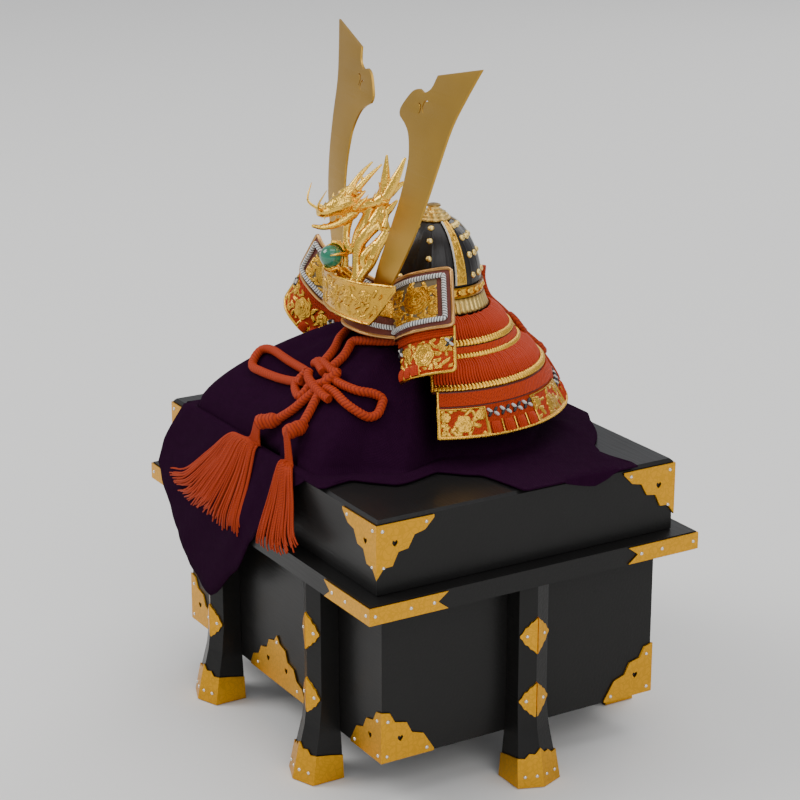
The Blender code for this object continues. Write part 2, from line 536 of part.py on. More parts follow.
def leg_places():
    """Name, place on the body's face, direction along the face and direction outwards."""
    x, y, spread = BODY_WIDTH/2, BODY_DEPTH/2, LEG_SPREAD/2
    return (("front_left", Vector((-spread, -y)), Vector((1, 0)), Vector((0, -1))),
            ("front_right", Vector((spread, -y)), Vector((1, 0)), Vector((0, -1))),
            ("back_left", Vector((-spread, y)), Vector((-1, 0)), Vector((0, 1))),
            ("back_right", Vector((spread, y)), Vector((-1, 0)), Vector((0, 1))),
            ("side_right", Vector((x, 0)), Vector((0, 1)), Vector((1, 0))),
            ("side_left", Vector((-x, 0)), Vector((0, -1)), Vector((-1, 0))))


def leg_section(place, along, out, z):
    """The five corners of a leg's section in plan."""
    flare = between(LEG_SECTIONS, z/LEG_HEIGHT)
    half = (LEG_WIDTH + flare*(FOOT_WIDTH - LEG_WIDTH))/2
    shoulder = LEG_SHOULDER + flare*(FOOT_SHOULDER - LEG_SHOULDER)
    ridge = LEG_RIDGE + flare*(FOOT_RIDGE - LEG_RIDGE)
    corners = ((-half, SEAT_GAP), (-half, shoulder), (0, ridge), (half, shoulder), (half, SEAT_GAP))
    return [place + along*u + out*v for u, v in corners]


def legs(lacquer, gilt):
    for name, place, along, out in leg_places():
        rings = []
        for share, _ in LEG_SECTIONS:
            z = share*LEG_HEIGHT
            rings.append([Vector((p.x, p.y, z)) for p in leg_section(place, along, out, z)])
        loft("leg_" + name, rings, lacquer)
        edge = SHOE_EDGE + tuple((4 - at, height) for at, height in reversed(SHOE_EDGE[:-1]))
        columns = [(at, SHOE_LIFT, SHOE_LIFT + height*SHOE_HEIGHT) for at, height in edge]
        bent_plate("shoe_" + name, lambda z: leg_section(place, along, out, z), columns, SEAT_GAP, GILT_THICKNESS, gilt)


def corner_columns(table, base, height, direction):
    """Columns of a corner plate: the corner lies at 1 and the arms run to 0 and to 2."""
    columns = []
    for share, drop in reversed(table):
        columns.append((1 - share, drop))
    columns += [(1 + share, drop) for share, drop in table[1:]]
    if direction < 0:
        return [(at, base - drop*height, base) for at, drop in columns]
    return [(at, base, base + drop*height) for at, drop in columns]


def chest_plates(gilt):
    for name, sign_x, sign_y in CORNERS:
        path = corner_path(LID_HALF_X, LID_HALF_Y, sign_x, sign_y, LID_PLATE_ARM)
        top = LID_TOP - LID_PLATE_INSET
        columns = corner_columns(LID_PLATE_EDGE, top, LID_PLATE_DROP, -1)
        plate = bent_plate("lid_plate_" + name, lambda z: path, columns, SEAT_GAP, GILT_THICKNESS, gilt)
        hearts = corner_hearts(LID_HALF_X, LID_HALF_Y, sign_x, sign_y, 0.30*LID_PLATE_ARM, top - 0.38*LID_PLATE_DROP)
        cut(plate, cutter_of("cutter_lid_" + name, hearts))

        edge = corner_path(FLANGE_HALF_X, FLANGE_HALF_Y, sign_x, sign_y, FLANGE_PLATE_ARM)
        high = FLANGE_TOP - 2*SEAT_GAP
        low = FLANGE_FOOT + 2*SEAT_GAP
        strip = bent_plate("flange_plate_" + name, lambda z: edge, [(0, low, high), (1, low, high), (2, low, high)],
                           SEAT_GAP, GILT_THICKNESS, gilt)
        cut(strip, cutter_of("cutter_flange_" + name, swallowtails(edge)))

        low_path = corner_path(BODY_WIDTH/2, BODY_DEPTH/2, sign_x, sign_y, BODY_PLATE_ARM)
        columns = corner_columns(BODY_PLATE_EDGE, BODY_LIFT, BODY_PLATE_RISE, 1)
        plate = bent_plate("body_plate_" + name, lambda z: low_path, columns, SEAT_GAP, GILT_THICKNESS, gilt)
        hearts = corner_hearts(BODY_WIDTH/2, BODY_DEPTH/2, sign_x, sign_y, 0.34*BODY_PLATE_ARM, BODY_LIFT + 0.42*BODY_PLATE_RISE)
        cut(plate, cutter_of("cutter_body_" + name, hearts))


def swallowtails(path):
    """Wedges that notch both ends of a flange plate."""
    middle = (FLANGE_FOOT + FLANGE_TOP)/2
    wedges = []
    for end, inner in ((path[0], path[1]), (path[2], path[1])):
        along = (end - inner).normalized()
        out = Vector((along.y, -along.x))
        points = []
        for reach, z in ((-FLANGE_PLATE_NOTCH, 0.0), (SEAT_GAP, FLANGE_HEIGHT*0.55), (SEAT_GAP, -FLANGE_HEIGHT*0.55)):
            for side in (-0.003, 0.003):
                spot = end + along*reach + out*side
                points.append(Vector((spot.x, spot.y, middle + z)))
        wedges.append((points, [(0, 2, 4), (1, 5, 3), (0, 1, 3, 2), (2, 3, 5, 4), (4, 5, 1, 0)]))
    return wedges


def front_plate(gilt):
    """The peaked plate at the centre of the front face's bottom edge."""
    half = FRONT_PLATE_WIDTH/2
    y = -BODY_DEPTH/2
    path = [Vector((FRONT_PLATE_CENTRE - half, y)), Vector((FRONT_PLATE_CENTRE, y)), Vector((FRONT_PLATE_CENTRE + half, y))]
    columns = corner_columns(FRONT_PLATE_EDGE, BODY_LIFT, FRONT_PLATE_RISE, 1)
    plate = bent_plate("front_plate", lambda z: path, columns, SEAT_GAP, GILT_THICKNESS, gilt)
    hearts = []
    for side in (-1, 1):
        centre = Vector((FRONT_PLATE_CENTRE + side*0.33*half, y, BODY_LIFT + 0.40*FRONT_PLATE_RISE))
        hearts.append(heart_prism(centre, Vector((1, 0, 0)), Vector((0, 0, 1)), Vector((0, 1, 0)), HEART_SIZE, 3*GILT_THICKNESS))
    cut(plate, cutter_of("cutter_front", hearts))


def dome(angle, shrink=0.0):
    """Radius and height of the bowl's outside, or of its inside, at an angle in degrees above its rim."""
    turn = math.radians(angle)
    return (BOWL_RADIUS - shrink)*math.cos(turn), BOWL_FOOT + (BOWL_RISE - shrink)*math.sin(turn)


DOME_ANGLES = (0, 20, 38, 55, 70, 82)
PAD_ANGLES = (74, 50, 22)          # where the cloth lies under the bowl


def bowl(lacquer, pale_gold, gilt):
    inside = [dome(angle, BOWL_WALL) for angle in reversed(DOME_ANGLES)]
    outside = [dome(angle) for angle in DOME_ANGLES]
    turned("bowl", inside + outside, AXIS, lacquer)
    low, high = dome(70), dome(82)
    knob = high[1] + CROWN_HEIGHT
    turned("crown_fitting", [(high[0], high[1] + SEAT_GAP), (low[0], low[1] + SEAT_GAP), (CROWN_RADIUS, low[1]),
                             (CROWN_RADIUS, knob - 0.70*CROWN_HEIGHT), (0.84*CROWN_RADIUS, knob - 0.50*CROWN_HEIGHT),
                             (0.44*CROWN_RADIUS, knob - 0.45*CROWN_HEIGHT), (0.40*CROWN_RADIUS, knob - 0.12*CROWN_HEIGHT),
                             (0.24*CROWN_RADIUS, knob)], AXIS, pale_gold, sides=16)
    for name, azimuth in (("front", 0), ("right", 92), ("back", 180), ("left", 268)):
        rings = []
        for angle in (2, 20, 38, 55, 66):
            half = STRIP_ANGLE/2*(1 - 0.35*angle/90)/max(0.35, math.cos(math.radians(angle))**0.5)
            ring = []
            for side, lift in ((-1, SKIN_GAP), (1, SKIN_GAP), (1, SKIN_GAP + GILT_THICKNESS), (-1, SKIN_GAP + GILT_THICKNESS)):
                radius, z = dome(angle, -lift)
                turn = math.radians(azimuth + side*half)
                ring.append(Vector((radius*math.sin(turn), HELMET_BACK - radius*math.cos(turn), z)))
            rings.append(ring)
        loft("bowl_strip_" + name, rings, gilt)


def band(pale_gold, gilt):
    top, foot = BOWL_FOOT - SEAT_GAP, RING_FOOT
    turned("stud_ring", [(RING_RADIUS - BAND_WALL, foot), (RING_RADIUS - BAND_WALL, top), (RING_RADIUS, top), (RING_RADIUS, foot)],
           AXIS, gilt, closed=True)
    top, foot = RING_FOOT - SEAT_GAP, BAND_FOOT
    turned("fluted_band", [(BAND_FOOT_RADIUS - BAND_WALL, foot), (BAND_TOP_RADIUS - BAND_WALL, top), (BAND_TOP_RADIUS, top),
                           (BAND_FOOT_RADIUS, foot)], AXIS, pale_gold, closed=True)


def guard_edge(share_drop, share_spread):
    return GUARD_NECK + share_spread*(GUARD_RADIUS - GUARD_NECK), GUARD_TOP - share_drop*GUARD_DROP


def sector(name, section, centre, start, paint, steps):
    """Sweep a section of (radius, height) pairs round the back, from one front end to the other."""
    rings = []
    for i in range(steps + 1):
        turn = math.radians(start + (360 - 2*start)*i/steps)
        rings.append([Vector((centre.x + r*math.sin(turn), centre.y - r*math.cos(turn), z)) for r, z in section])
    return loft(name, rings, paint, smooth=40)


def neck_guard(lacing):
    for i, (upper, lower) in enumerate(zip(GUARD_ROWS, GUARD_ROWS[1:])):
        r_top, z_top = guard_edge(upper[0], upper[1])
        r_low, z_low = guard_edge(lower[0], lower[1])
        z_low += SEAT_GAP if i < len(GUARD_ROWS) - 2 else 0
        r_in = GUARD_SEAT if i == 0 else r_top - LAME_WALL
        section = [(r_in, z_top), (r_top, z_top), (r_low, z_low), (r_low - LAME_WALL, z_low)]
        sector("guard_lame_%d" % (i + 1), section, GUARD_AXIS, max(upper[2], lower[2]), lacing, 22)


def visor(leather):
    """The brim over the brow, from the ring down to a rim that is broader at the front."""
    rings = []
    count = 14
    for i in range(count + 1):
        azimuth = VISOR_END*(2*i/count - 1)
        turn = math.radians(azimuth)
        share = abs(azimuth)/VISOR_END
        reach = VISOR_REACH - (VISOR_REACH - VISOR_SIDE)*share**2.6
        flat = min(reach, VISOR_REACH/max(0.75, math.cos(turn)))
        out = Vector((math.sin(turn), -math.cos(turn), 0))
        top = AXIS + out*(BAND_TOP_RADIUS + 2*SKIN_GAP) + Vector((0, 0, RING_FOOT - SEAT_GAP))
        rim = AXIS + out*flat + Vector((0, 0, RING_FOOT - VISOR_DROP - 0.0012*share))
        slope = (rim - top).normalized()
        lift = Vector((-slope.z*out.x, -slope.z*out.y, math.hypot(slope.x, slope.y)))*VISOR_WALL
        rings.append([top, rim, rim + lift, top + lift])
    loft("visor", rings, leather, smooth=40)


def wing_edge(side, start, table):
    """Bottom edge of a wing: three places from the guard's end, then a step for each row."""
    edge = [Vector((side*across, HELMET_BACK - ahead, BAND_FOOT - WING_DROP + rise)) for across, ahead, rise in start]
    place = edge[-1]
    for rise, turn, _ in table:
        up, back = math.radians(rise), math.radians(turn)
        place = place + Vector((side*math.cos(up)*math.cos(back), math.cos(up)*math.sin(back), math.sin(up)))*WING_STEP
        edge.append(place)
    return edge


def wings(gold, lacing):
    for side, name, start, table, rise in ((1, "right", NEAR_START, NEAR_WING, NEAR_RISE),
                                           (-1, "left", FAR_START, FAR_WING, FAR_RISE)):
        edge = wing_edge(side, start, table)
        heights = [0.35, 0.60] + [row[2] for row in table] + [table[-1][2]*0.9]
        down = Vector((side*0.50, -0.27, -0.82))
        rings, lower = [], []
        for i, place in enumerate(edge):
            up = Vector(rise[0]).lerp(Vector(rise[1]), i/(len(edge) - 1))
            along = (edge[min(i + 1, len(edge) - 1)] - edge[max(i - 1, 0)]).normalized()
            face = along.cross(up).normalized()*side
            back = -face*WING_WALL
            top = place + up*(WING_HEIGHT*heights[i])
            rings.append([place, top, top + back, place + back])
            high = place - face*WING_TUCK + up*WING_WALL
            low = high + down*LOWER_WING_HEIGHT*min(1.0, heights[i] + 0.2)
            if i >= 2:
                lower.append([high, low, low + back, high + back])
        loft("wing_upper_" + name, rings, gold, smooth=50)
        skirt = loft("wing_lower_" + name, lower, lacing, smooth=50)
        skirt.modifiers.new("split", "TRIANGULATE")


def crest_place(side, forward, z):
    """A place in the crest's own frame, which is turned a little about the upright axis."""
    turn = math.radians(CREST_TURN)
    return Vector((side*math.cos(turn) + forward*math.sin(turn), side*math.sin(turn) - forward*math.cos(turn), z))


def plate_forward(side):
    return PLATE_FORWARD - PLATE_CURVE*(side/PLATE_HALF)**2


def plate_skin(name, front, back, paint):
    """The mount plate's outline between two skins, each a distance ahead of its front face."""
    columns = [(-s, low, high) for s, low, high in reversed(PLATE_EDGE)] + list(PLATE_EDGE[1:])
    rings = []
    for share, low, high in columns:
        side = share*PLATE_HALF
        ring = []
        for rise, ahead in ((low, front), (high, front), (high, back), (low, back)):
            ring.append(crest_place(side, plate_forward(side) + ahead, BAND_FOOT + rise*PLATE_RISE))
        rings.append(ring)
    return loft(name, rings, paint, smooth=50)


def crest_plate(gold):
    plate_skin("crest_plate", 0, -PLATE_WALL, gold)
    half = BRACKET_WIDTH/2
    front, rear = plate_forward(half) - PLATE_WALL - 2*SEAT_GAP, RING_RADIUS - HELMET_BACK + 4*SEAT_GAP
    low, high = RING_FOOT + 0.0012, BOWL_FOOT - 0.0012
    rings = [[crest_place(s, f, z) for s, z in ((-half, low), (half, low), (half, high), (-half, high))] for f in (rear, front)]
    loft("crest_bracket", rings, gold)


def horn_forward(side, z):
    """How far forward the horn's blade stands: it leans back and curves a little."""
    share = z - BOWL_FOOT
    lean = 0.0168 - 0.2406*(share - 0.1007)
    bend = 0.83*max(0.0, 0.0895 - share)**2
    return lean - bend - 0.0489*(abs(side) - 0.018)


def horns(gold):
    foot = BOWL_FOOT - SEAT_GAP
    outline = [(s*HORN_SPREAD, foot + h*HORN_HEIGHT) for h, s in HORN_OUTER + HORN_TOP + HORN_INNER]
    for sign, name in ((1, "right"), (-1, "left")):
        rings = []
        for back in (0, HORN_WALL):
            rings.append([crest_place(sign*s, horn_forward(s, z) - back, z) for s, z in outline])
        horn = loft("horn_" + name, rings, gold)
        cut(horn, horn_curls("cutter_horn_" + name, sign, foot))


def horn_curls(name, sign, foot):
    """Two C-shaped curls that are cut through the horn near its notch."""
    bodies = []
    for side, rise, radius, start, end in HORN_CURLS:
        arc = []
        for i in range(6):
            turn = math.radians(start + (end - start)*i/5)
            s = (side + radius*math.cos(turn))*HORN_SPREAD
            z = foot + rise*HORN_HEIGHT + radius*HORN_SPREAD*math.sin(turn)
            arc.append((s, z, 0.35 + 0.65*math.sin(math.pi*(i + 0.5)/6)))
        points, faces = [], []
        for i, (s, z, fat) in enumerate(arc):
            before, after = arc[max(i - 1, 0)], arc[min(i + 1, 5)]
            step = Vector((after[0] - before[0], after[1] - before[1])).normalized()
            for across in (-1, 1):
                for back in (0.002, -HORN_WALL - 0.002):
                    cs = s + step.y*across*CURL_WIDTH/2*fat
                    cz = z - step.x*across*CURL_WIDTH/2*fat
                    points.append(crest_place(sign*cs, horn_forward(cs, cz) + back, cz))
        for i in range(5):
            a, b = 4*i, 4*i + 4
            faces += [(a, b, b + 1, a + 1), (a + 2, a + 3, b + 3, b + 2), (a, a + 2, b + 2, b), (a + 1, b + 1, b + 3, a + 3)]
        faces += [(0, 1, 3, 2), (20, 22, 23, 21)]
        bodies.append((points, faces))
    return cutter_of(name, bodies)


def dragon(gold, green):
    """The dragon is one casting: tapered strokes fused together, seated behind the mount plate."""
    bodies = []
    for rows in DRAGON:
        route, radii = [], []
        for side, ahead, rise, radius in rows:
            route.append(crest_place(side*DRAGON_SIZE, PLATE_FORWARD + ahead*DRAGON_SIZE, BOWL_FOOT + rise*DRAGON_SIZE))
            radii.append(radius*DRAGON_SIZE)
        fine = []
        for i in range(len(route) - 1):
            fine.append((route[i], radii[i]))
        fine.append((route[-1], radii[-1]))
        bodies.append(taper([p for p, _ in fine], [r for _, r in fine]))
    casting = fused("crest_dragon", bodies, gold, DRAGON_SIZE/80, DRAGON_TRIANGLES)
    cut(casting, plate_skin("cutter_dragon_plate", 0.02, -PLATE_WALL - SEAT_GAP, None))
    centre = crest_place(0, PLATE_FORWARD + 0.014*DRAGON_SIZE, BOWL_FOOT + 0.248*DRAGON_SIZE)
    cut(casting, ball("cutter_dragon_ball", centre, BALL_RADIUS + SEAT_GAP, None))
    ball("crest_ball", centre, BALL_RADIUS, green)


def ball(name, centre, radius, paint):
    profile = [(radius*math.cos(math.radians(a)), centre.z + radius*math.sin(math.radians(a))) for a in (-80, -50, -17, 17, 50, 80)]
    return turned(name, profile, centre, paint, sides=14)


def on_cloth(side, forward, lift):
    """A cord's centre where it lies on the cloth, raised by a number of diameters."""
    step = 0.001
    height = cloth_height(side, -forward)
    slope_x = (cloth_height(side + step, -forward) - cloth_height(side - step, -forward))/(2*step)
    slope_y = (cloth_height(side, -forward + step) - cloth_height(side, -forward - step))/(2*step)
    steep = math.sqrt(1 + slope_x**2 + slope_y**2)
    return Vector((side, -forward, LID_TOP + height + steep*(CLOTH_WALL + CORD_LIFT + CORD_DIAMETER/2) + CORD_DIAMETER*lift))


def strand(route, spacing):
    return smooth_route([on_cloth(*place) for place in route], spacing)


def chin_cord(silk):
    """The loop runs under the visor, behind the post and back to the bow, which is one piece with its tails."""
    tube("chin_cord", strand(LOOP_ROUTE, 2.6*CORD_DIAMETER), CORD_DIAMETER, silk)
    bodies = []
    for route in (BOW_LEFT, BOW_RIGHT, BOW_TOP, BOW_CORNER, BOW_OVER, BOW_UNDER, TAIL_LEFT, TAIL_RIGHT):
        line = strand(route, 1.2*CORD_DIAMETER)
        bodies.append(taper(line, [CORD_DIAMETER/2]*len(line)))
    fused("chin_bow", bodies, silk, CORD_DIAMETER/5, BOW_TRIANGLES)


def tassel(name, head, tips, silk):
    """A head with locks that fan out from it over the cloth's edge, fused into one body."""
    neck = on_cloth(*head)
    bodies = []
    for side, drop in tips:
        middle = (head[1] + LID_HALF_Y)/2
        line = [neck, on_cloth(neck.x + 0.15*(side - neck.x), middle, 0.25)]
        knee = min(0.85*drop, LID_TOP - FLANGE_TOP - 2*CLOTH_WALL)
        for share, rise in ((0.35, 1.2*TASSEL_LOCK), (0.55, -0.45*knee), (0.85, -knee), (1.0, -drop)):
            across = neck.x + (side - neck.x)*share
            z = LID_TOP + rise
            line.append(Vector((across, -(cloth_face(z) + SEAT_GAP + 1.10*TASSEL_LOCK), z)))
        line = smooth_route(line, 2.4*TASSEL_LOCK)
        count = len(line) - 1
        bodies.append(taper(line, [TASSEL_LOCK*(1.0 - 0.45*max(0.0, 2*k/count - 1)) for k in range(count + 1)], 6))
    start = neck - (neck.lerp(Vector((tips[0][0], bodies[0][0][0].y, neck.z)), 0.06) - neck)
    bodies.append(taper([start, neck, neck + (neck - start)*1.2], [0.8*TASSEL_HEAD, TASSEL_HEAD, TASSEL_HEAD], 10))
    fused(name, bodies, silk, TASSEL_LOCK/2.2, TASSEL_TRIANGLES)


def on_guard(side, rise, lift):
    """A rear cord's centre on the bowl's band and neck guard, raised by a number of diameters."""
    z = BOWL_FOOT + rise
    back = GUARD_FORWARD + SKIN_GAP + GILT_THICKNESS + 2*SEAT_GAP
    profile = [guard_edge(drop, spread)[::-1] for drop, spread, _ in reversed(GUARD_ROWS)]
    profile += [(RING_FOOT, RING_RADIUS + back), (BOWL_FOOT + CROWN_HEIGHT, RING_RADIUS + back)]
    step = 0.0005
    slope = (between(profile, z + step) - between(profile, z - step))/(2*step)
    away = math.sqrt(1 + slope**2)*(REAR_CORD_DIAMETER/2 + CORD_LIFT) + lift*REAR_CORD_DIAMETER
    radius = between(profile, z) + away
    turn = side/radius
    return GUARD_AXIS + Vector((radius*math.sin(turn), radius*math.cos(turn), z))


def rear_bow(silk):
    """The bow at the back of the bowl, with its two tassels fused to its tails."""
    thick = REAR_CORD_DIAMETER/2
    line = smooth_route([on_guard(*place) for place in REAR_LINE], 1.2*REAR_CORD_DIAMETER)
    bodies = [taper(line, [thick]*len(line))]
    for side in (-1, 1):
        for route in (REAR_LOOP, REAR_TAIL):
            line = smooth_route([on_guard(side*s, rise, lift) for s, rise, lift in route], 1.2*REAR_CORD_DIAMETER)
            bodies.append(taper(line, [thick]*len(line)))
        last = REAR_TAIL[-1]
        for lock in REAR_LOCKS:
            places = (last, ((last[0] + lock)/2, (last[1] - REAR_LOCK_DROP)/2, 0.0), (lock, -REAR_LOCK_DROP, 0.1))
            line = smooth_route([on_guard(side*s, rise, lift) for s, rise, lift in places], 1.2*REAR_CORD_DIAMETER)
            bodies.append(taper(line, [1.1*thick]*(len(line) - 1) + [0.6*thick]))
    fused("rear_bow", bodies, silk, REAR_CORD_DIAMETER/4.5, REAR_TRIANGLES)


def cloth_row(azimuth):
    return [between(CLOTH_SPOKES, azimuth, column) for column in range(1, 5)]


def cloth_profile(share, power):
    """Height of the cloth above the lid at a share of the way from its neck to its foot."""
    if share < CLOTH_SHOULDER:
        return CLOTH_NECK_RISE + (CLOTH_SHOULDER_RISE - CLOTH_NECK_RISE)*max(0.0, share)/CLOTH_SHOULDER
    slope = max(0.0, 1 - share)**power*(CLOTH_NECK_RISE - 2*SEAT_GAP)
    return 2*SEAT_GAP + min(CLOTH_SHOULDER_RISE - 2*SEAT_GAP, slope)


def cloth_height(side, depth):
    """Height of the cloth's underside above the lid at a place in plan."""
    dx, dy = side, depth - HELMET_BACK
    radius = math.hypot(dx, dy)
    azimuth = math.degrees(math.atan2(dx, -dy))
    foot, power, _, _ = cloth_row(azimuth)
    return cloth_profile((radius - CLOTH_NECK)/(foot*CLOTH_REACH - CLOTH_NECK), power)


def to_edge(azimuth):
    """Distance from the bowl's axis to the lid's edge, and which edge it is."""
    turn = math.radians(azimuth)
    dx, dy = math.sin(turn), -math.cos(turn)
    clear = SKIN_GAP
    reach_x = (LID_HALF_X + clear)/abs(dx) if abs(dx) > 1e-6 else 9.0
    limit_y = LID_HALF_Y + clear - HELMET_BACK if dy > 0 else LID_HALF_Y + clear + HELMET_BACK
    reach_y = limit_y/abs(dy) if abs(dy) > 1e-6 else 9.0
    return (reach_x, "side") if reach_x < reach_y else (reach_y, "front")


def cloth_overhang():
    """How far the hanging cloth stands out from the lid's face to clear the flange and its plates."""
    return FLANGE_OVERHANG - LID_PLAY - LID_WALL + GILT_THICKNESS + SEAT_GAP


def cloth_face(z):
    """Place of the hanging cloth's outer face ahead of the chest's centre, at a height."""
    share = min(1.0, max(0.0, (LID_TOP - z)/(LID_TOP - FLANGE_TOP - 2*CLOTH_WALL)))
    return LID_HALF_Y + SKIN_GAP + 1.1*CLOTH_WALL + share*cloth_overhang()


def cloth_spoke(azimuth):
    """Places down one spoke of the cloth's underside, from its top to its hem."""
    turn = math.radians(azimuth)
    out = Vector((math.sin(turn), -math.cos(turn), 0))
    foot, power, reach, hang = cloth_row(azimuth)
    edge, which = to_edge(azimuth)
    end = min(reach*CLOTH_REACH, edge)
    places = []
    for angle in PAD_ANGLES:
        radius, z = dome(angle, BOWL_WALL + CLOTH_WALL + SKIN_GAP)
        places.append(AXIS + out*radius + Vector((0, 0, z)))
    foot_at = min(foot*CLOTH_REACH, end - 0.004)
    for share in (0.0, CLOTH_SHOULDER, 0.35, 0.60, 0.82, 0.94):
        radius = CLOTH_NECK + share*(foot_at - CLOTH_NECK)
        places.append(AXIS + out*radius + Vector((0, 0, LID_TOP + cloth_profile(share, power))))
    places.append(AXIS + out*foot_at + Vector((0, 0, LID_TOP + 2*SEAT_GAP)))
    places.append(AXIS + out*end + Vector((0, 0, LID_TOP + 2*SEAT_GAP)))
    corner = places[-1]
    wall = Vector((0, -1, 0)) if which == "front" else Vector((math.copysign(1, out.x), 0, 0))
    along = out - wall*out.dot(wall)
    total = hang*CLOTH_REACH
    to_flange = LID_TOP - FLANGE_TOP - 2*CLOTH_WALL
    full = cloth_overhang()
    for i, fall in enumerate((min(total, to_flange), (min(total, to_flange) + total)/2, total)):
        if end < edge or total == 0:
            places.append(corner + out*(0.001*(i + 1)))
        else:
            proud = full*min(1.0, fall/to_flange)
            places.append(corner + wall*proud + along*(fall*CLOTH_DRIFT) - Vector((0, 0, fall)))
    return places


def cloth(fabric):
    """The draped cloth: a tent over the post, a hem on the lid and a corner hung over the front."""
    azimuths = [row[0] for row in CLOTH_SPOKES[:-1]]
    spokes = [cloth_spoke(azimuth) for azimuth in azimuths]
    count = len(spokes)
    rows = len(spokes[0])
    points = [p for k in range(rows) for p in (spoke[k] for spoke in spokes)]
    faces = []
    for k in range(rows - 1):
        for i in range(count):
            j = (i + 1) % count
            faces.append((k*count + i, k*count + j, (k + 1)*count + j, (k + 1)*count + i))
    faces.append(tuple(range(count - 1, -1, -1)))
    mesh = bpy.data.meshes.new("display_cloth")
    mesh.from_pydata([tuple(p) for p in points], [], faces)
    mesh.materials.append(fabric)
    made = bpy.data.objects.new("display_cloth", mesh)
    bpy.context.collection.objects.link(made)
    wall = made.modifiers.new("wall", "SOLIDIFY")
    wall.thickness = CLOTH_WALL
    wall.offset = -1
    wall.use_rim = True
    return made


def post(wood):
    """The plain hidden post that carries the helmet."""
    head, top = dome(PAD_ANGLES[0], BOWL_WALL + CLOTH_WALL + SKIN_GAP)
    top -= SEAT_GAP
    foot = LID_TOP + SEAT_GAP
    turned("stand_post", [(0.3*POST_BASE_RADIUS, foot), (POST_BASE_RADIUS, foot), (POST_BASE_RADIUS, foot + POST_BASE_HEIGHT),
                          (POST_RADIUS, foot + 2*POST_BASE_HEIGHT), (POST_RADIUS, top - 0.012), (1.2*POST_RADIUS, top - 0.006),
                          (0.8*head, top)], AXIS, wood, sides=16)


def main():
    clear_scene()
    lacquer = material("black_lacquer", (0.012, 0.011, 0.012), 0.35, 0.0)
    gilt = material("gilt_plate", (0.72, 0.47, 0.12), 0.35, 1.0)
    pale_gold = material("pale_gold", (0.80, 0.62, 0.28), 0.35, 1.0)
    brown_gold = material("brown_gold", (0.42, 0.28, 0.07), 0.40, 1.0)
    lacing = material("orange_lacing", (0.55, 0.07, 0.02), 0.75, 0.0)
    leather = material("red_brown_leather", (0.16, 0.03, 0.02), 0.5, 0.0)
    fabric = material("aubergine_cloth", (0.05, 0.012, 0.06), 0.85, 0.0)
    wood = material("plain_wood", (0.45, 0.30, 0.16), 0.6, 0.0)
    chest_body(lacquer)
    chest_lid(lacquer)
    chest_flange(lacquer)
    legs(lacquer, gilt)
    chest_plates(gilt)
    front_plate(gilt)
    post(wood)
    cloth(fabric)
    bowl(lacquer, pale_gold, gilt)
    band(pale_gold, gilt)
    neck_guard(lacing)
    visor(leather)
    wings(gilt, lacing)
    crest_plate(brown_gold)
    horns(brown_gold)
    dragon(pale_gold, material("green_glass", (0.0, 0.10, 0.05), 0.15, 0.0))
    silk = material("orange_silk", (0.60, 0.09, 0.02), 0.7, 0.0)
    chin_cord(silk)
    tassel("tassel_left", HEAD_LEFT, TIPS_LEFT, silk)
    tassel("tassel_right", HEAD_RIGHT, TIPS_RIGHT, silk)
    rear_bow(silk)


main()
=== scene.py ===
"""Dresses a small display helmet on its lacquered chest: finishes, lacing, reliefs, cords and cloth."""
import math
import random

import bmesh
import bpy
import numpy as np
from mathutils import Matrix, Vector
from mathutils.bvhtree import BVHTree


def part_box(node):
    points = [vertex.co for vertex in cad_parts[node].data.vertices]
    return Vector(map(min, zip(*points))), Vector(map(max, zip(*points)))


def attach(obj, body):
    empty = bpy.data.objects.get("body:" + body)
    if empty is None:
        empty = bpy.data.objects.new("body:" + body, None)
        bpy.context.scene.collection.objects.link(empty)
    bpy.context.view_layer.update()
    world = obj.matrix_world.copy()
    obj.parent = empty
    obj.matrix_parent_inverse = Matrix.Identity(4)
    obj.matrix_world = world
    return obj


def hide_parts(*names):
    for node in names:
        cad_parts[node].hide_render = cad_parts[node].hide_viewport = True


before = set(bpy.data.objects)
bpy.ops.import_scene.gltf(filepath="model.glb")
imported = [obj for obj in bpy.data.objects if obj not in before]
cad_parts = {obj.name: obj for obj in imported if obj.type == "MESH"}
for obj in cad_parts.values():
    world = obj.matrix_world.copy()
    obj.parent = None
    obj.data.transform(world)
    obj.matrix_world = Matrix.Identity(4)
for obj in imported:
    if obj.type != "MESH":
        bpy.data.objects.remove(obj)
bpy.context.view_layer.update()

bl_info = {
    "name": "Display helmet dresser",
    "version": (1, 0, 0),
    "blender": (4, 5, 0),
    "location": "View3D > Sidebar > Helmet",
    "description": "Builds the looks of a laced display helmet and its chest round the solid frame",
    "category": "Object",
}

# Half sizes of the chest: body and flange
BODY_SIDE, BODY_FRONT, FLANGE_SIDE, FLANGE_FRONT = 0.1136, 0.0884, 0.130, 0.1048
LID_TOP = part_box("chest_lid")[1].z
LID_SIDE, LID_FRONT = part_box("chest_lid")[1].x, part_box("chest_lid")[1].y
BOWL_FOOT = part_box("bowl")[0].z
BOWL_BACK = 0.013                       # the bowl's axis, behind the chest's centre
BOWL_RADIUS = (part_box("bowl")[1].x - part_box("bowl")[0].x)/2
BOWL_RISE = 0.0355
BAND_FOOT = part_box("fluted_band")[0].z
RING_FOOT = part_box("stud_ring")[0].z
AXIS = Vector((0, BOWL_BACK, 0))
GUARD_AXIS = Vector((0, BOWL_BACK - 0.0028, 0))
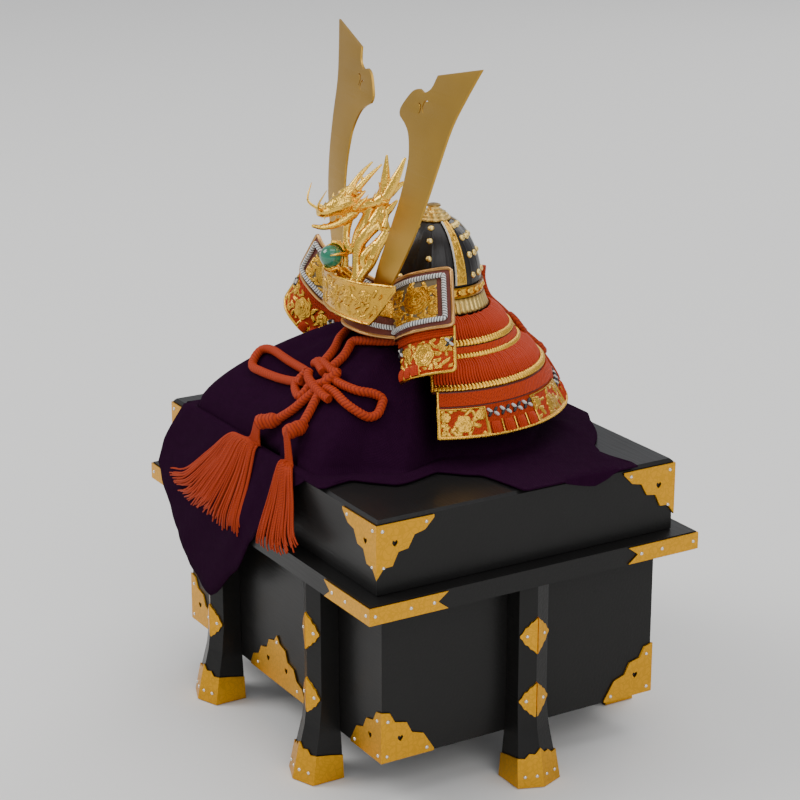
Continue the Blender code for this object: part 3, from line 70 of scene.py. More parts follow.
# Neck guard, from its top down: height and outer radius
GUARD_PROFILE = ((0.2403, 0.0345), (0.2301, 0.0447), (0.2218, 0.0507), (0.2078, 0.0655), (0.2002, 0.0700),
                 (0.1852, 0.0785))
GUARD_ENDS = (60.0, 60.0, 60.0, 62.5, 62.5)
CREST_TURN = math.radians(-7.35)
PLATE_FORWARD, PLATE_HALF, PLATE_CURVE, PLATE_RISE = 0.049, 0.047, 0.017, 0.0262
HORN_SPREAD, HORN_HEIGHT = 0.0957, 0.1336
DRAGON_SIZE, DRAGON_FULL = 0.075, 1.22
BALL_RADIUS = 0.0062


# Small helpers for meshes

class Shape:
    """Points, faces, a map and a finish for each face, gathered from several runs."""

    def __init__(self):
        self.points, self.faces, self.maps, self.finishes = [], [], [], []

    def add(self, points, faces, maps=None, finish=0):
        first = len(self.points)
        self.points += [tuple(p) for p in points]
        self.maps += list(maps) if maps else [(0.0, 0.0)]*len(points)
        self.faces += [tuple(i + first for i in face) for face in faces]
        self.finishes += [finish]*len(faces) if isinstance(finish, int) else list(finish)

    def make(self, name, finishes, smooth=45):
        mesh = bpy.data.meshes.new(name)
        mesh.from_pydata(self.points, [], self.faces)
        for finish in finishes:
            mesh.materials.append(bpy.data.materials[finish])
        mesh.polygons.foreach_set("material_index", self.finishes)
        layer = mesh.uv_layers.new(name="UVMap")
        corners = np.zeros(len(mesh.loops), np.int32)
        mesh.loops.foreach_get("vertex_index", corners)
        layer.data.foreach_set("uv", np.array(self.maps, np.float32)[corners].ravel())
        mesh.shade_smooth()
        mesh.set_sharp_from_angle(angle=math.radians(smooth))
        made = bpy.data.objects.new(name, mesh)
        bpy.context.collection.objects.link(made)
        return made


def keep(made, slot, *nodes):
    """Let a finished piece ride on the root, and hide the solids that it stands for. The slot is not used."""
    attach(made, "root")
    if nodes:
        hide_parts(*nodes)
    return made


def smooth_line(points, spacing, closed=False):
    """Evenly spaced points on a smooth curve through the given ones."""
    points = [Vector(p) for p in points]
    if closed:
        ends = [points[-1]] + points + [points[0], points[1]]
    else:
        ends = [points[0]*2 - points[1]] + points + [points[-1]*2 - points[-2]]
    fine = []
    for a, b, c, d in zip(ends, ends[1:], ends[2:], ends[3:]):
        for step in range(16):
            t = step/16
            fine.append((b*2 + (c - a)*t + (a*2 - b*5 + c*4 - d)*t*t + (b*3 - a - c*3 + d)*t**3)*0.5)
    fine.append(points[0].copy() if closed else points[-1].copy())
    lengths = [0.0]
    for a, b in zip(fine, fine[1:]):
        lengths.append(lengths[-1] + (b - a).length)
    count = max(2, round(lengths[-1]/spacing))
    line, at = [], 0
    for i in range(count + 1):
        want = lengths[-1]*i/count
        while at < len(fine) - 2 and lengths[at + 1] < want:
            at += 1
        span = max(lengths[at + 1] - lengths[at], 1e-9)
        line.append(fine[at].lerp(fine[at + 1], min(1.0, (want - lengths[at])/span)))
    return line[:-1] if closed else line


def line_length(line):
    return sum((b - a).length for a, b in zip(line, line[1:]))


def tube(shape, line, radius, sides=12, finish=0, closed=False, relief=None):
    """A round tube along a line. The map holds the turn round it and the millimetres along it."""
    count = len(line)
    points, maps, faces = [], [], []
    side, run = None, 0.0
    for i, place in enumerate(line):
        before = line[i - 1] if closed or i > 0 else place
        after = line[(i + 1) % count] if closed or i < count - 1 else place
        along = (after - before).normalized()
        side = along.orthogonal().normalized() if side is None else (
            side - along*side.dot(along)).normalized()
        up = along.cross(side)
        run += (place - line[i - 1]).length if i > 0 else 0.0
        size = radius(i/(count - 1)) if callable(radius) else radius
        for k in range(sides + 1):
            turn = math.tau*k/sides
            out = size + (relief(k/sides, run) if relief else 0.0)
            points.append(place + (side*math.cos(turn) + up*math.sin(turn))*out)
            maps.append((k/sides, run*1000))
    rows = count if closed else count - 1
    width = sides + 1
    for row in range(rows):
        low, high = row*width, (row + 1) % count*width
        for k in range(sides):
            faces.append((low + k, low + k + 1, high + k + 1, high + k))
    if not closed:
        faces.append(tuple(range(sides - 1, -1, -1)))
        faces.append(tuple((count - 1)*width + k for k in range(sides)))
    shape.add(points, faces, maps, finish)


def sheet(shape, place, columns, rows, low, high, finish=0, heights=None, ground=None):
    """A thin panel between two lifts above place(u, v, lift). Heights raise its face."""
    points, maps = [], []
    for skin in (0, 1):
        for j in range(rows + 1):
            for i in range(columns + 1):
                rise = high if skin == 0 else low
                if skin == 0 and heights is not None:
                    rise = high + heights[j][i]
                points.append(place(i/columns, j/rows, rise))
                maps.append((i/columns, j/rows))
    width, size = columns + 1, (columns + 1)*(rows + 1)
    faces, finishes = [], []
    for j in range(rows):
        for i in range(columns):
            a, b, c, d = j*width + i, j*width + i + 1, (j + 1)*width + i + 1, (j + 1)*width + i
            faces.append((a, b, c, d))
            flat = (heights is not None and ground is not None
                    and max(heights[j][i], heights[j + 1][i + 1]) < ground[1])
            finishes.append(ground[0] if flat else finish)
            faces.append((size + a, size + d, size + c, size + b))
            finishes.append(finish)
    border = list(range(width)) + [j*width + columns for j in range(1, rows + 1)]
    border += [rows*width + i for i in range(columns - 1, -1, -1)] + [j*width for j in range(rows - 1, 0, -1)]
    for a, b in zip(border, border[1:] + border[:1]):
        faces.append((a, size + a, size + b, b))
        finishes.append(finish)
    shape.add(points, faces, maps, finishes)


def turned(shape, profile, centre, sides=96, finish=0, rim=None):
    """Turn a closed profile of (radius, height) about an upright axis. rim(turn, k) adds to a radius."""
    points, maps, faces = [], [], []
    for i in range(sides):
        turn = math.radians(360.0*i/sides)
        for k, (radius, z) in enumerate(profile):
            r = radius + (rim(turn, k) if rim else 0.0)
            points.append(centre + Vector((r*math.sin(turn), -r*math.cos(turn), z)))
            maps.append((turn/math.tau, k/len(profile)))
    count = len(profile)
    for i in range(sides):
        j = (i + 1) % sides
        for k in range(count):
            n = (k + 1) % count
            faces.append((i*count + k, i*count + n, j*count + n, j*count + k))
    shape.add(points, faces, maps, finish)


# Geometry nodes: one pattern repeated on places that carry their own directions

def wire(tree, kind, inputs=None, **settings):
    node = tree.nodes.new(kind)
    for key, value in settings.items():
        setattr(node, key, value)
    for key, value in (inputs or {}).items():
        socket = node.inputs[key]
        if isinstance(value, bpy.types.NodeSocket):
            tree.links.new(value, socket)
        else:
            socket.default_value = value
    return node


def repeat_tree():
    """Instances of a pattern on points, turned by each point's outward and along directions."""
    found = bpy.data.node_groups.get("repeat_on_places")
    if found:
        return found
    tree = bpy.data.node_groups.new("repeat_on_places", "GeometryNodeTree")
    face = tree.interface
    for name, kind in (
            ("Places", "Geometry"), ("Pattern", "Object"), ("Size", "Float"), ("Size Spread", "Float"),
            ("Seed", "Int"), ("Finish", "Material")):
        face.new_socket(name, in_out="INPUT", socket_type="NodeSocket" + kind)
    face.new_socket("Pieces", in_out="OUTPUT", socket_type="NodeSocketGeometry")
    start, end = tree.nodes.new("NodeGroupInput"), tree.nodes.new("NodeGroupOutput")
    outward = wire(tree, "GeometryNodeInputNamedAttribute", {"Name": "outward"}, data_type="FLOAT_VECTOR")
    along = wire(tree, "GeometryNodeInputNamedAttribute", {"Name": "along"}, data_type="FLOAT_VECTOR")
    first = wire(tree, "FunctionNodeAlignRotationToVector", {"Vector": outward.outputs["Attribute"]},
                 axis="Z")
    second = wire(
        tree, "FunctionNodeAlignRotationToVector",
        {"Vector": along.outputs["Attribute"], "Rotation": first.outputs[0]}, axis="X", pivot_axis="Z")
    spread = tree.nodes.new("FunctionNodeRandomValue")
    spread.data_type = "FLOAT"
    low = wire(tree, "ShaderNodeMath", {0: 1.0, 1: start.outputs["Size Spread"]}, operation="SUBTRACT")
    high = wire(tree, "ShaderNodeMath", {0: 1.0, 1: start.outputs["Size Spread"]}, operation="ADD")
    sockets = {s.name: s for s in spread.inputs if s.enabled}
    tree.links.new(low.outputs[0], sockets["Min"])
    tree.links.new(high.outputs[0], sockets["Max"])
    tree.links.new(start.outputs["Seed"], sockets["Seed"])
    value = next(s for s in spread.outputs if s.enabled)
    size = wire(tree, "ShaderNodeMath", {0: start.outputs["Size"], 1: value}, operation="MULTIPLY")
    pattern = wire(tree, "GeometryNodeObjectInfo", {"Object": start.outputs["Pattern"]})
    cloud = wire(tree, "GeometryNodeMeshToPoints", {"Mesh": start.outputs["Places"]})
    placed = wire(tree, "GeometryNodeInstanceOnPoints",
                  {"Points": cloud.outputs[0], "Instance": pattern.outputs["Geometry"],
                   "Rotation": second.outputs[0]})
    tree.links.new(size.outputs[0], placed.inputs["Scale"])
    real = wire(tree, "GeometryNodeRealizeInstances", {0: placed.outputs[0]})
    finish = wire(tree, "GeometryNodeSetMaterial", {"Geometry": real.outputs[0],
                                                    "Material": start.outputs["Finish"]})
    tree.links.new(finish.outputs[0], end.inputs[0])
    return tree


def repeated(name, pattern, places, finish, size=1.0, spread=0.0, seed=1, smooth=45):
    """A plain mesh of one pattern on each place: (point, outward, along)."""
    mesh = bpy.data.meshes.new(name + "_places")
    mesh.from_pydata([tuple(p) for p, _, _ in places], [], [])
    for key, column in (("outward", 1), ("along", 2)):
        layer = mesh.attributes.new(key, "FLOAT_VECTOR", "POINT")
        layer.data.foreach_set("vector", np.array([tuple(row[column]) for row in places], np.float32).ravel())
    carrier = bpy.data.objects.new(name + "_places", mesh)
    bpy.context.collection.objects.link(carrier)
    tree = repeat_tree()
    nodes = carrier.modifiers.new("repeat", "NODES")
    nodes.node_group = tree
    values = {"Pattern": pattern, "Size": size, "Size Spread": spread, "Seed": seed,
              "Finish": bpy.data.materials[finish]}
    for item in tree.interface.items_tree:
        if item.in_out == "INPUT" and item.name in values:
            nodes[item.identifier] = values[item.name]
    bpy.context.view_layer.update()
    graph = bpy.context.evaluated_depsgraph_get()
    made_mesh = bpy.data.meshes.new_from_object(carrier.evaluated_get(graph), depsgraph=graph)
    made_mesh.name = name
    made_mesh.shade_smooth()
    made_mesh.set_sharp_from_angle(angle=math.radians(smooth))
    made = bpy.data.objects.new(name, made_mesh)
    bpy.context.collection.objects.link(made)
    carrier.modifiers.remove(nodes)
    bpy.data.objects.remove(carrier, do_unlink=True)
    bpy.data.objects.remove(pattern, do_unlink=True)
    return made


def dome_pattern(radius, rise, sides=12, rings=4, foot=0.3):
    """A round nail or rivet head with a little buried foot."""
    shape = Shape()
    points = [Vector((radius*math.cos(math.tau*k/sides), radius*math.sin(math.tau*k/sides),
                      -foot*rise)) for k in range(sides)]
    for ring in range(rings):
        lean = math.radians(90*ring/rings)
        points += [Vector((radius*math.cos(lean)*math.cos(math.tau*k/sides),
                           radius*math.cos(lean)*math.sin(math.tau*k/sides),
                           rise*math.sin(lean))) for k in range(sides)]
    points.append(Vector((0, 0, rise)))
    faces = []
    for ring in range(rings):
        for k in range(sides):
            n = (k + 1) % sides
            faces.append((ring*sides + k, ring*sides + n, (ring + 1)*sides + n, (ring + 1)*sides + k))
    faces += [(rings*sides + k, rings*sides + (k + 1) % sides, len(points) - 1) for k in range(sides)]
    faces.append(tuple(range(sides - 1, -1, -1)))
    shape.add(points, faces)
    return shape.make("pattern_dome", ["satin_gilt"])


# Finishes

def effect(name, inputs, outputs):
    """A shader node group with named inputs and outputs."""
    tree = bpy.data.node_groups.new(name, "ShaderNodeTree")
    for label, value in inputs:
        kind = "NodeSocketVector" if isinstance(value, tuple) else "NodeSocketFloat"
        tree.interface.new_socket(label, in_out="INPUT", socket_type=kind).default_value = value
    for label in outputs:
        tree.interface.new_socket(label, in_out="OUTPUT", socket_type="NodeSocketFloat")
    return tree, tree.nodes.new("NodeGroupInput"), tree.nodes.new("NodeGroupOutput")


def math_node(tree, operation, a, b=0.0, c=0.0):
    return wire(tree, "ShaderNodeMath", {0: a, 1: b, 2: c}, operation=operation).outputs[0]


def make_effects():
    # Grain: noise stretched along one direction
    tree, start, end = effect("grain", [("Stretch", (1.0, 1.0, 1.0)), ("Scale", 500.0), ("Detail", 3.0)],
                              ["Value", "Height"])
    where = wire(tree, "ShaderNodeTexCoord").outputs["Object"]
    scaled = wire(tree, "ShaderNodeVectorMath", {0: where, 1: start.outputs["Stretch"]}, operation="MULTIPLY")
    noise = wire(tree, "ShaderNodeTexNoise", {"Vector": scaled.outputs[0], "Scale": start.outputs["Scale"],
                                              "Detail": start.outputs["Detail"]})
    tree.links.new(noise.outputs[0], end.inputs["Value"])
    tree.links.new(math_node(tree, "SUBTRACT", noise.outputs[0], 0.5), end.inputs["Height"])
    # Engraving: wandering cut lines
    tree, start, end = effect(
        "engraving", [("Scale", 320.0), ("Wander", 0.004), ("Width", 0.12)], ["Line", "Height"])
    where = wire(tree, "ShaderNodeTexCoord").outputs["Object"]
    swirl = wire(tree, "ShaderNodeTexNoise", {"Vector": where, "Scale": 190.0, "Detail": 1.0})
    moved = wire(tree, "ShaderNodeVectorMath", {0: swirl.outputs["Color"], 1: (0.5, 0.5, 0.5)},
                 operation="SUBTRACT")
    shift = wire(tree, "ShaderNodeVectorMath", {0: moved.outputs[0], "Scale": start.outputs["Wander"]},
                 operation="SCALE")
    spot = wire(tree, "ShaderNodeVectorMath", {0: where, 1: shift.outputs[0]}, operation="ADD")
    cells = wire(tree, "ShaderNodeTexVoronoi", {"Vector": spot.outputs[0], "Scale": start.outputs["Scale"]},
                 feature="DISTANCE_TO_EDGE")
    line = math_node(tree, "LESS_THAN", cells.outputs["Distance"], start.outputs["Width"])
    tree.links.new(line, end.inputs["Line"])
    tree.links.new(math_node(tree, "MINIMUM", cells.outputs["Distance"], start.outputs["Width"]),
                   end.inputs["Height"])
    # Plait: chevrons round and along a cord, read from the piece's own map
    tree, start, end = effect("plait", [("Columns", 4.0), ("Pitch", 2.1), ("Slope", 0.9)], ["Crest"])
    parts = wire(tree, "ShaderNodeSeparateXYZ", {0: wire(tree, "ShaderNodeTexCoord").outputs["UV"]})
    zigzag = math_node(tree, "PINGPONG", math_node(tree, "MULTIPLY", parts.outputs[0],
                                                   start.outputs["Columns"]), 1.0)
    run = math_node(tree, "DIVIDE", parts.outputs[1], start.outputs["Pitch"])
    phase = math_node(tree, "MULTIPLY_ADD", zigzag, start.outputs["Slope"], run)
    crest = math_node(tree, "ABSOLUTE", math_node(tree, "SINE", math_node(tree, "MULTIPLY", phase, math.pi)))
    tree.links.new(crest, end.inputs["Crest"])
    # Weave: crossed threads
    tree, start, end = effect("weave", [("Threads", 2600.0)], ["Height", "Shade"])
    parts = wire(tree, "ShaderNodeSeparateXYZ", {0: wire(tree, "ShaderNodeTexCoord").outputs["Object"]})
    warp = math_node(
        tree, "SINE",
        math_node(
            tree, "MULTIPLY", math_node(tree, "ADD", parts.outputs[0], parts.outputs[2]),
            start.outputs["Threads"]))
    weft = math_node(
        tree, "SINE",
        math_node(
            tree, "MULTIPLY", math_node(tree, "SUBTRACT", parts.outputs[1], parts.outputs[2]),
            start.outputs["Threads"]))
    both = math_node(tree, "MULTIPLY", warp, weft)
    tree.links.new(both, end.inputs["Height"])
    tree.links.new(math_node(tree, "MULTIPLY_ADD", both, 0.5, 0.5), end.inputs["Shade"])
    # Hollows: low where the surface is sunken, high on its raised edges; the gold and lacing finishes paint
    # shade into the sunken places with it
    tree, start, end = effect("hollows", [("Low", 0.44), ("High", 0.54)], ["Raised"])
    sharp = wire(tree, "ShaderNodeNewGeometry").outputs["Pointiness"]
    ramp = wire(tree, "ShaderNodeMapRange", {0: sharp, 1: start.outputs["Low"], 2: start.outputs["High"]})
    tree.links.new(ramp.outputs[0], end.inputs["Raised"])


def use(tree, name, **values):
    node = tree.nodes.new("ShaderNodeGroup")
    node.node_tree = bpy.data.node_groups[name]
    for key, value in values.items():
        node.inputs[key.replace("_", " ")].default_value = value
    return node


def blend_colour(tree, share, low, high):
    node = tree.nodes.new("ShaderNodeMix")
    node.data_type = "RGBA"
    sockets = {s.name: s for s in node.inputs if s.enabled}
    for key, value in (("Factor", share), ("A", low), ("B", high)):
        if isinstance(value, bpy.types.NodeSocket):
            tree.links.new(value, sockets[key])
        else:
            sockets[key].default_value = (*value, 1.0) if isinstance(
                value, (tuple, list)) and len(value) == 3 else value
    return next(s for s in node.outputs if s.enabled)


def finish(name, colour, roughness, metallic=0.0, **settings):
    """A material whose shader is ready for its nodes: returns the tree and the shader."""
    if name in bpy.data.materials:
        raise ValueError("a finish has the name of a material that is there already: " + name)
    made = bpy.data.materials.new(name)
    made.use_nodes = True
    tree = made.node_tree
    shader = tree.nodes["Principled BSDF"]
    shader.inputs["Base Color"].default_value = (*colour, 1.0)
    shader.inputs["Roughness"].default_value = roughness
    shader.inputs["Metallic"].default_value = metallic
    for key, value in settings.items():
        shader.inputs[key.replace("_", " ")].default_value = value
    return tree, shader


def bump(tree, shader, height, distance, strength=1.0, under=None):
    node = wire(tree, "ShaderNodeBump", {"Height": height, "Distance": distance, "Strength": strength})
    if under:
        tree.links.new(under, node.inputs["Normal"])
    tree.links.new(node.outputs[0], shader.inputs["Normal"])
    return node.outputs[0]


def vary_roughness(tree, shader, value, low, high):
    spread = wire(tree, "ShaderNodeMapRange", {0: value, 3: low, 4: high})
    tree.links.new(spread.outputs[0], shader.inputs["Roughness"])


def make_finishes(colours):
    make_effects()
    lacquer, gilt, pale = tuple(colours.lacquer), tuple(colours.gilt), tuple(colours.pale_gold)
    cord, cloth = tuple(colours.cord), tuple(colours.cloth)

    tree, shader = finish("chest_lacquer", lacquer, 0.34, Specular_IOR_Level=0.22)
    wood = use(tree, "grain", Stretch=(0.06, 1.0, 1.0), Scale=620.0, Detail=5.0)
    dust = use(tree, "grain", Stretch=(1.0, 1.0, 1.0), Scale=26.0, Detail=3.0)
    vary_roughness(tree, shader, dust.outputs["Value"], 0.24, 0.44)
    bump(tree, shader, wood.outputs["Height"], 0.00012)
    # The lacquer turns a lighter grey on its raised edges
    raised_edges = use(tree, "hollows", Low=0.505, High=0.60)
    tree.links.new(blend_colour(tree, raised_edges.outputs["Raised"], lacquer, (0.010, 0.0095, 0.009)),
                   shader.inputs["Base Color"])

    tree, shader = finish("bowl_lacquer", (0.006, 0.0035, 0.0028), 0.3, Specular_IOR_Level=0.35)
    streaks = use(tree, "grain", Stretch=(1.0, 1.0, 0.15), Scale=900.0, Detail=3.0)
    vary_roughness(tree, shader, streaks.outputs["Value"], 0.22, 0.42)
    bump(tree, shader, streaks.outputs["Height"], 0.00008)

    tree, shader = finish("satin_gilt", gilt, 0.36, 1.0)
    cuts = use(tree, "engraving", Scale=300.0, Wander=0.006, Width=0.11)
    speckle = use(tree, "grain", Scale=2600.0, Detail=2.0)
    vary_roughness(tree, shader, speckle.outputs["Value"], 0.27, 0.47)
    under = bump(tree, shader, speckle.outputs["Height"], 0.00006)
    bump(tree, shader, cuts.outputs["Height"], 0.0011, 0.22, under)
    dark = tuple(c*0.90 for c in gilt)
    tree.links.new(blend_colour(tree, cuts.outputs["Line"], gilt, dark), shader.inputs["Base Color"])

    for name, colour, rough in (("relief_gold", tuple(colours.relief_gold), 0.24), ("pale_metal", pale, 0.3)):
        tree, shader = finish(name, colour, rough, 1.0)
        # Painted shade: the sunken parts of the relief are darker
        raised = use(tree, "hollows", Low=0.42, High=0.53)
        deep = tuple(c*s for c, s in zip(colour, (0.34, 0.27, 0.22)))
        tree.links.new(blend_colour(tree, raised.outputs["Raised"], deep, colour),
                       shader.inputs["Base Color"])
        pits = use(tree, "grain", Scale=1700.0, Detail=3.0)
        vary_roughness(tree, shader, pits.outputs["Value"], rough - 0.1, rough + 0.16)
        bump(tree, shader, pits.outputs["Height"], 0.00016)

    tree, shader = finish("cast_gold", tuple(colours.cast_gold), 0.14, 1.0)
    # Painted shade: the sunken parts of the casting are darker
    raised = use(tree, "hollows", Low=0.40, High=0.52)
    deep = tuple(c*s for c, s in zip(colours.cast_gold, (0.5, 0.36, 0.22)))
    tree.links.new(blend_colour(tree, raised.outputs["Raised"], deep, tuple(colours.cast_gold)),
                   shader.inputs["Base Color"])
    scales = use(tree, "engraving", Scale=620.0, Wander=0.0012, Width=0.2)
    soft = use(tree, "grain", Scale=420.0, Detail=2.0)
    vary_roughness(tree, shader, soft.outputs["Value"], 0.08, 0.24)
    bump(tree, shader, scales.outputs["Height"], 0.0004, 0.6)

    tree, shader = finish("brushed_gold", tuple(colours.horn_gold), 0.36, 1.0, Anisotropic=0.45)
    brush = use(tree, "grain", Stretch=(1.0, 1.0, 0.02), Scale=2600.0, Detail=4.0)
    broad = use(tree, "grain", Scale=34.0, Detail=2.0)
    vary_roughness(tree, shader, brush.outputs["Value"], 0.26, 0.46)
    bump(tree, shader, brush.outputs["Height"], 0.00007)
    tone = blend_colour(tree, broad.outputs["Value"], tuple(c*0.86 for c in colours.horn_gold),
                        tuple(c*1.12 for c in colours.horn_gold))
    tree.links.new(tone, shader.inputs["Base Color"])

    tree, shader = finish("bright_edge", (0.86, 0.66, 0.28), 0.2, 1.0)
    scratch = use(tree, "grain", Scale=1500.0, Detail=2.0)
    vary_roughness(tree, shader, scratch.outputs["Value"], 0.12, 0.3)

    tree, shader = finish("copper_gold", (0.62, 0.34, 0.12), 0.3, 1.0)
    scratch = use(tree, "grain", Scale=900.0, Detail=3.0)
    vary_roughness(tree, shader, scratch.outputs["Value"], 0.2, 0.42)
    bump(tree, shader, scratch.outputs["Height"], 0.00006)

    tree, shader = finish("nail_silver", (0.80, 0.77, 0.70), 0.22, 1.0)
    scratch = use(tree, "grain", Scale=1800.0, Detail=2.0)
    vary_roughness(tree, shader, scratch.outputs["Value"], 0.14, 0.34)

    dark_cord = tuple(c*s for c, s in zip(cord, (0.34, 0.22, 0.3)))
    tree, shader = finish("plaited_silk", cord, 0.62, Specular_IOR_Level=0.2)
    plait = use(tree, "plait", Columns=4.0, Pitch=2.1, Slope=0.9)
    lit = math_node(tree, "POWER", plait.outputs["Crest"], 0.6)
    fibre = use(tree, "grain", Scale=3800.0, Detail=2.0)
    tree.links.new(blend_colour(tree, lit, dark_cord, cord), shader.inputs["Base Color"])
    bump(tree, shader, fibre.outputs["Height"], 0.00018)

    tree, shader = finish("tassel_silk", cord, 0.66, Specular_IOR_Level=0.2)
    twist = use(tree, "plait", Columns=2.0, Pitch=1.5, Slope=1.6)
    fibre = use(tree, "grain", Scale=3800.0, Detail=2.0)
    lit = math_node(tree, "POWER", twist.outputs["Crest"], 0.5)
    tree.links.new(blend_colour(tree, lit, tuple(c*0.45 for c in cord), cord), shader.inputs["Base Color"])
    bump(tree, shader, twist.outputs["Crest"], 0.00016)
    vary_roughness(tree, shader, fibre.outputs["Value"], 0.55, 0.8)

    tree, shader = finish("lacing_silk", tuple(colours.lacing), 0.6, Specular_IOR_Level=0.25)
    # Painted shade: the lacing is darker in its hollows and between its plaits
    plait = use(tree, "plait", Columns=4.0, Pitch=1.1, Slope=0.8)
    raised = use(tree, "hollows", Low=0.38, High=0.52)
    groove = tuple(c*s for c, s in zip(colours.lacing, (0.42, 0.2, 0.3)))
    both = math_node(
        tree, "MULTIPLY", raised.outputs["Raised"],
        math_node(tree, "MULTIPLY_ADD", plait.outputs["Crest"], 0.45, 0.6))
    tree.links.new(blend_colour(tree, both, groove, tuple(colours.lacing)), shader.inputs["Base Color"])
    bump(tree, shader, plait.outputs["Crest"], 0.00012)

    tree, shader = finish("knit_lacing", tuple(colours.lacing), 0.68, Specular_IOR_Level=0.2)
    knit = use(tree, "weave", Threads=3600.0)
    fibre = use(tree, "grain", Scale=900.0, Detail=4.0)
    lit = math_node(tree, "MULTIPLY_ADD", knit.outputs["Shade"], 0.5, fibre.outputs["Value"])
    tree.links.new(blend_colour(tree, lit, tuple(c*0.4 for c in colours.lacing), tuple(colours.lacing)),
                   shader.inputs["Base Color"])
    bump(tree, shader, knit.outputs["Height"], 0.00018)

    tree, shader = finish("chequered_braid", (0.6, 0.6, 0.58), 0.6, Sheen_Weight=0.2)
    plait = use(tree, "plait", Columns=2.0, Pitch=1.55, Slope=0.75)
    white = math_node(tree, "GREATER_THAN", plait.outputs["Crest"], 0.52)
    fibre = use(tree, "grain", Scale=3000.0, Detail=2.0)
    tree.links.new(blend_colour(tree, white, (0.012, 0.02, 0.02), (0.74, 0.74, 0.71)),
                   shader.inputs["Base Color"])
    bump(tree, shader, plait.outputs["Crest"], 0.0003)
    vary_roughness(tree, shader, fibre.outputs["Value"], 0.5, 0.75)

    for name, colour, scale in (
            ("red_leather", tuple(colours.leather), 900.0), ("knot_black", (0.02, 0.02, 0.022), 2400.0),
            ("knot_white", (0.62, 0.61, 0.56), 2400.0), ("panel_ground", (0.16, 0.12, 0.06), 1300.0)):
        tree, shader = finish(name, colour, 0.55)
        pebble = use(tree, "grain", Scale=scale, Detail=4.0)
        vary_roughness(tree, shader, pebble.outputs["Value"], 0.4, 0.68)
        tone = blend_colour(tree, pebble.outputs["Value"], tuple(c*0.7 for c in colour),
                            tuple(c*1.25 for c in colour))
        tree.links.new(tone, shader.inputs["Base Color"])
        bump(tree, shader, pebble.outputs["Height"], 0.00025)

    tree, shader = finish("woven_cloth", cloth, 0.95, Specular_IOR_Level=0.03)
    weave = use(tree, "weave", Threads=5200.0)
    mottle = use(tree, "grain", Scale=240.0, Detail=5.0)
    tone = blend_colour(tree, mottle.outputs["Value"], tuple(c*0.8 for c in cloth),
                        tuple(c*1.22 for c in cloth))
    tree.links.new(tone, shader.inputs["Base Color"])
    under = bump(tree, shader, weave.outputs["Height"], 0.00009)
    bump(tree, shader, mottle.outputs["Height"], 0.00035, 0.5, under)

    tree, shader = finish("green_stone", (0.004, 0.16, 0.075), 0.06, Coat_Weight=0.6, Coat_Roughness=0.03,
                          Specular_IOR_Level=0.6)
    veins = use(tree, "grain", Stretch=(1.0, 1.0, 2.4), Scale=260.0, Detail=4.0)
    tree.links.new(blend_colour(tree, veins.outputs["Value"], (0.002, 0.07, 0.035), (0.02, 0.30, 0.16)),
                   shader.inputs["Base Color"])
    bump(tree, shader, veins.outputs["Height"], 0.00003)

    tree, shader = finish("turned_wood", (0.42, 0.27, 0.14), 0.6)
    rings = use(tree, "grain", Stretch=(1.0, 1.0, 0.08), Scale=420.0, Detail=5.0)
    tree.links.new(blend_colour(tree, rings.outputs["Value"], (0.30, 0.18, 0.09), (0.52, 0.36, 0.2)),
                   shader.inputs["Base Color"])
    bump(tree, shader, rings.outputs["Height"], 0.0002)

    tree, shader = finish("pale_floor", tuple(colours.floor), 0.9)
    paper = use(tree, "grain", Scale=30.0, Detail=4.0)
    vary_roughness(tree, shader, paper.outputs["Value"], 0.85, 0.95)


# Reliefs: a generic peony and scrolling leaves, as heights from 0 to 1

def peony(x, y):
    """Heights of a full blossom of radius 1 about the origin."""
    reach, turn = np.hypot(x, y), np.arctan2(y, x)
    height = np.zeros_like(x)
    for size, petals, lean, top in (
            (1.0, 6, 0.2, 0.50), (0.80, 6, 0.8, 0.64), (0.60, 5, 0.4, 0.78), (0.38, 4, 1.1, 0.90),
            (0.19, 3, 0.0, 1.0)):
        edge = size*(0.86 + 0.14*np.abs(np.cos(turn*petals/2 + lean)))
        share = np.clip(reach/edge, 0, 2)
        cup = top*(0.62 + 0.38*share**2)*(1 - 0.22*np.abs(np.cos(turn*petals/2 + lean + math.pi/2))**8)
        height = np.where(share < 1, cup, height)
    return height


def relief(width, height, columns, rows, blossoms, seed, leaves=26, border=0.0):
    """A grid of heights for a panel: blossoms (x, y, radius) and leaves, all in metres."""
    rng = np.random.default_rng(seed)
    x, y = np.meshgrid(np.linspace(0, width, columns + 1), np.linspace(0, height, rows + 1))
    field = np.zeros_like(x)
    for _ in range(leaves):
        cx, cy, lean = rng.uniform(0, width), rng.uniform(0, height), rng.uniform(0, math.pi)
        long, wide = rng.uniform(0.0020, 0.0034), rng.uniform(0.0009, 0.0014)
        u = ((x - cx)*math.cos(lean) + (y - cy)*math.sin(lean))/long
        v = (-(x - cx)*math.sin(lean) + (y - cy)*math.cos(lean))/wide + 0.5*np.sin(2.2*u)
        leaf = np.clip(1 - u*u - v*v, 0, 1)**0.5*(0.62 - 0.25*np.exp(-(v/0.16)**2))
        field = np.maximum(field, leaf)
    for cx, cy, radius in blossoms:
        bloom = peony((x - cx)/radius, (y - cy)/radius)
        field = np.where(np.hypot(x - cx, y - cy) < radius*1.02, np.maximum(bloom, 0.12), field)
    if border:
        near = np.minimum(np.minimum(x, width - x), np.minimum(y, height - y))
        field = np.where(near < border, 0.75*np.sqrt(np.clip(1 - (near/border*2 - 1)**2, 0, 1)), field)
    return field


# Chest

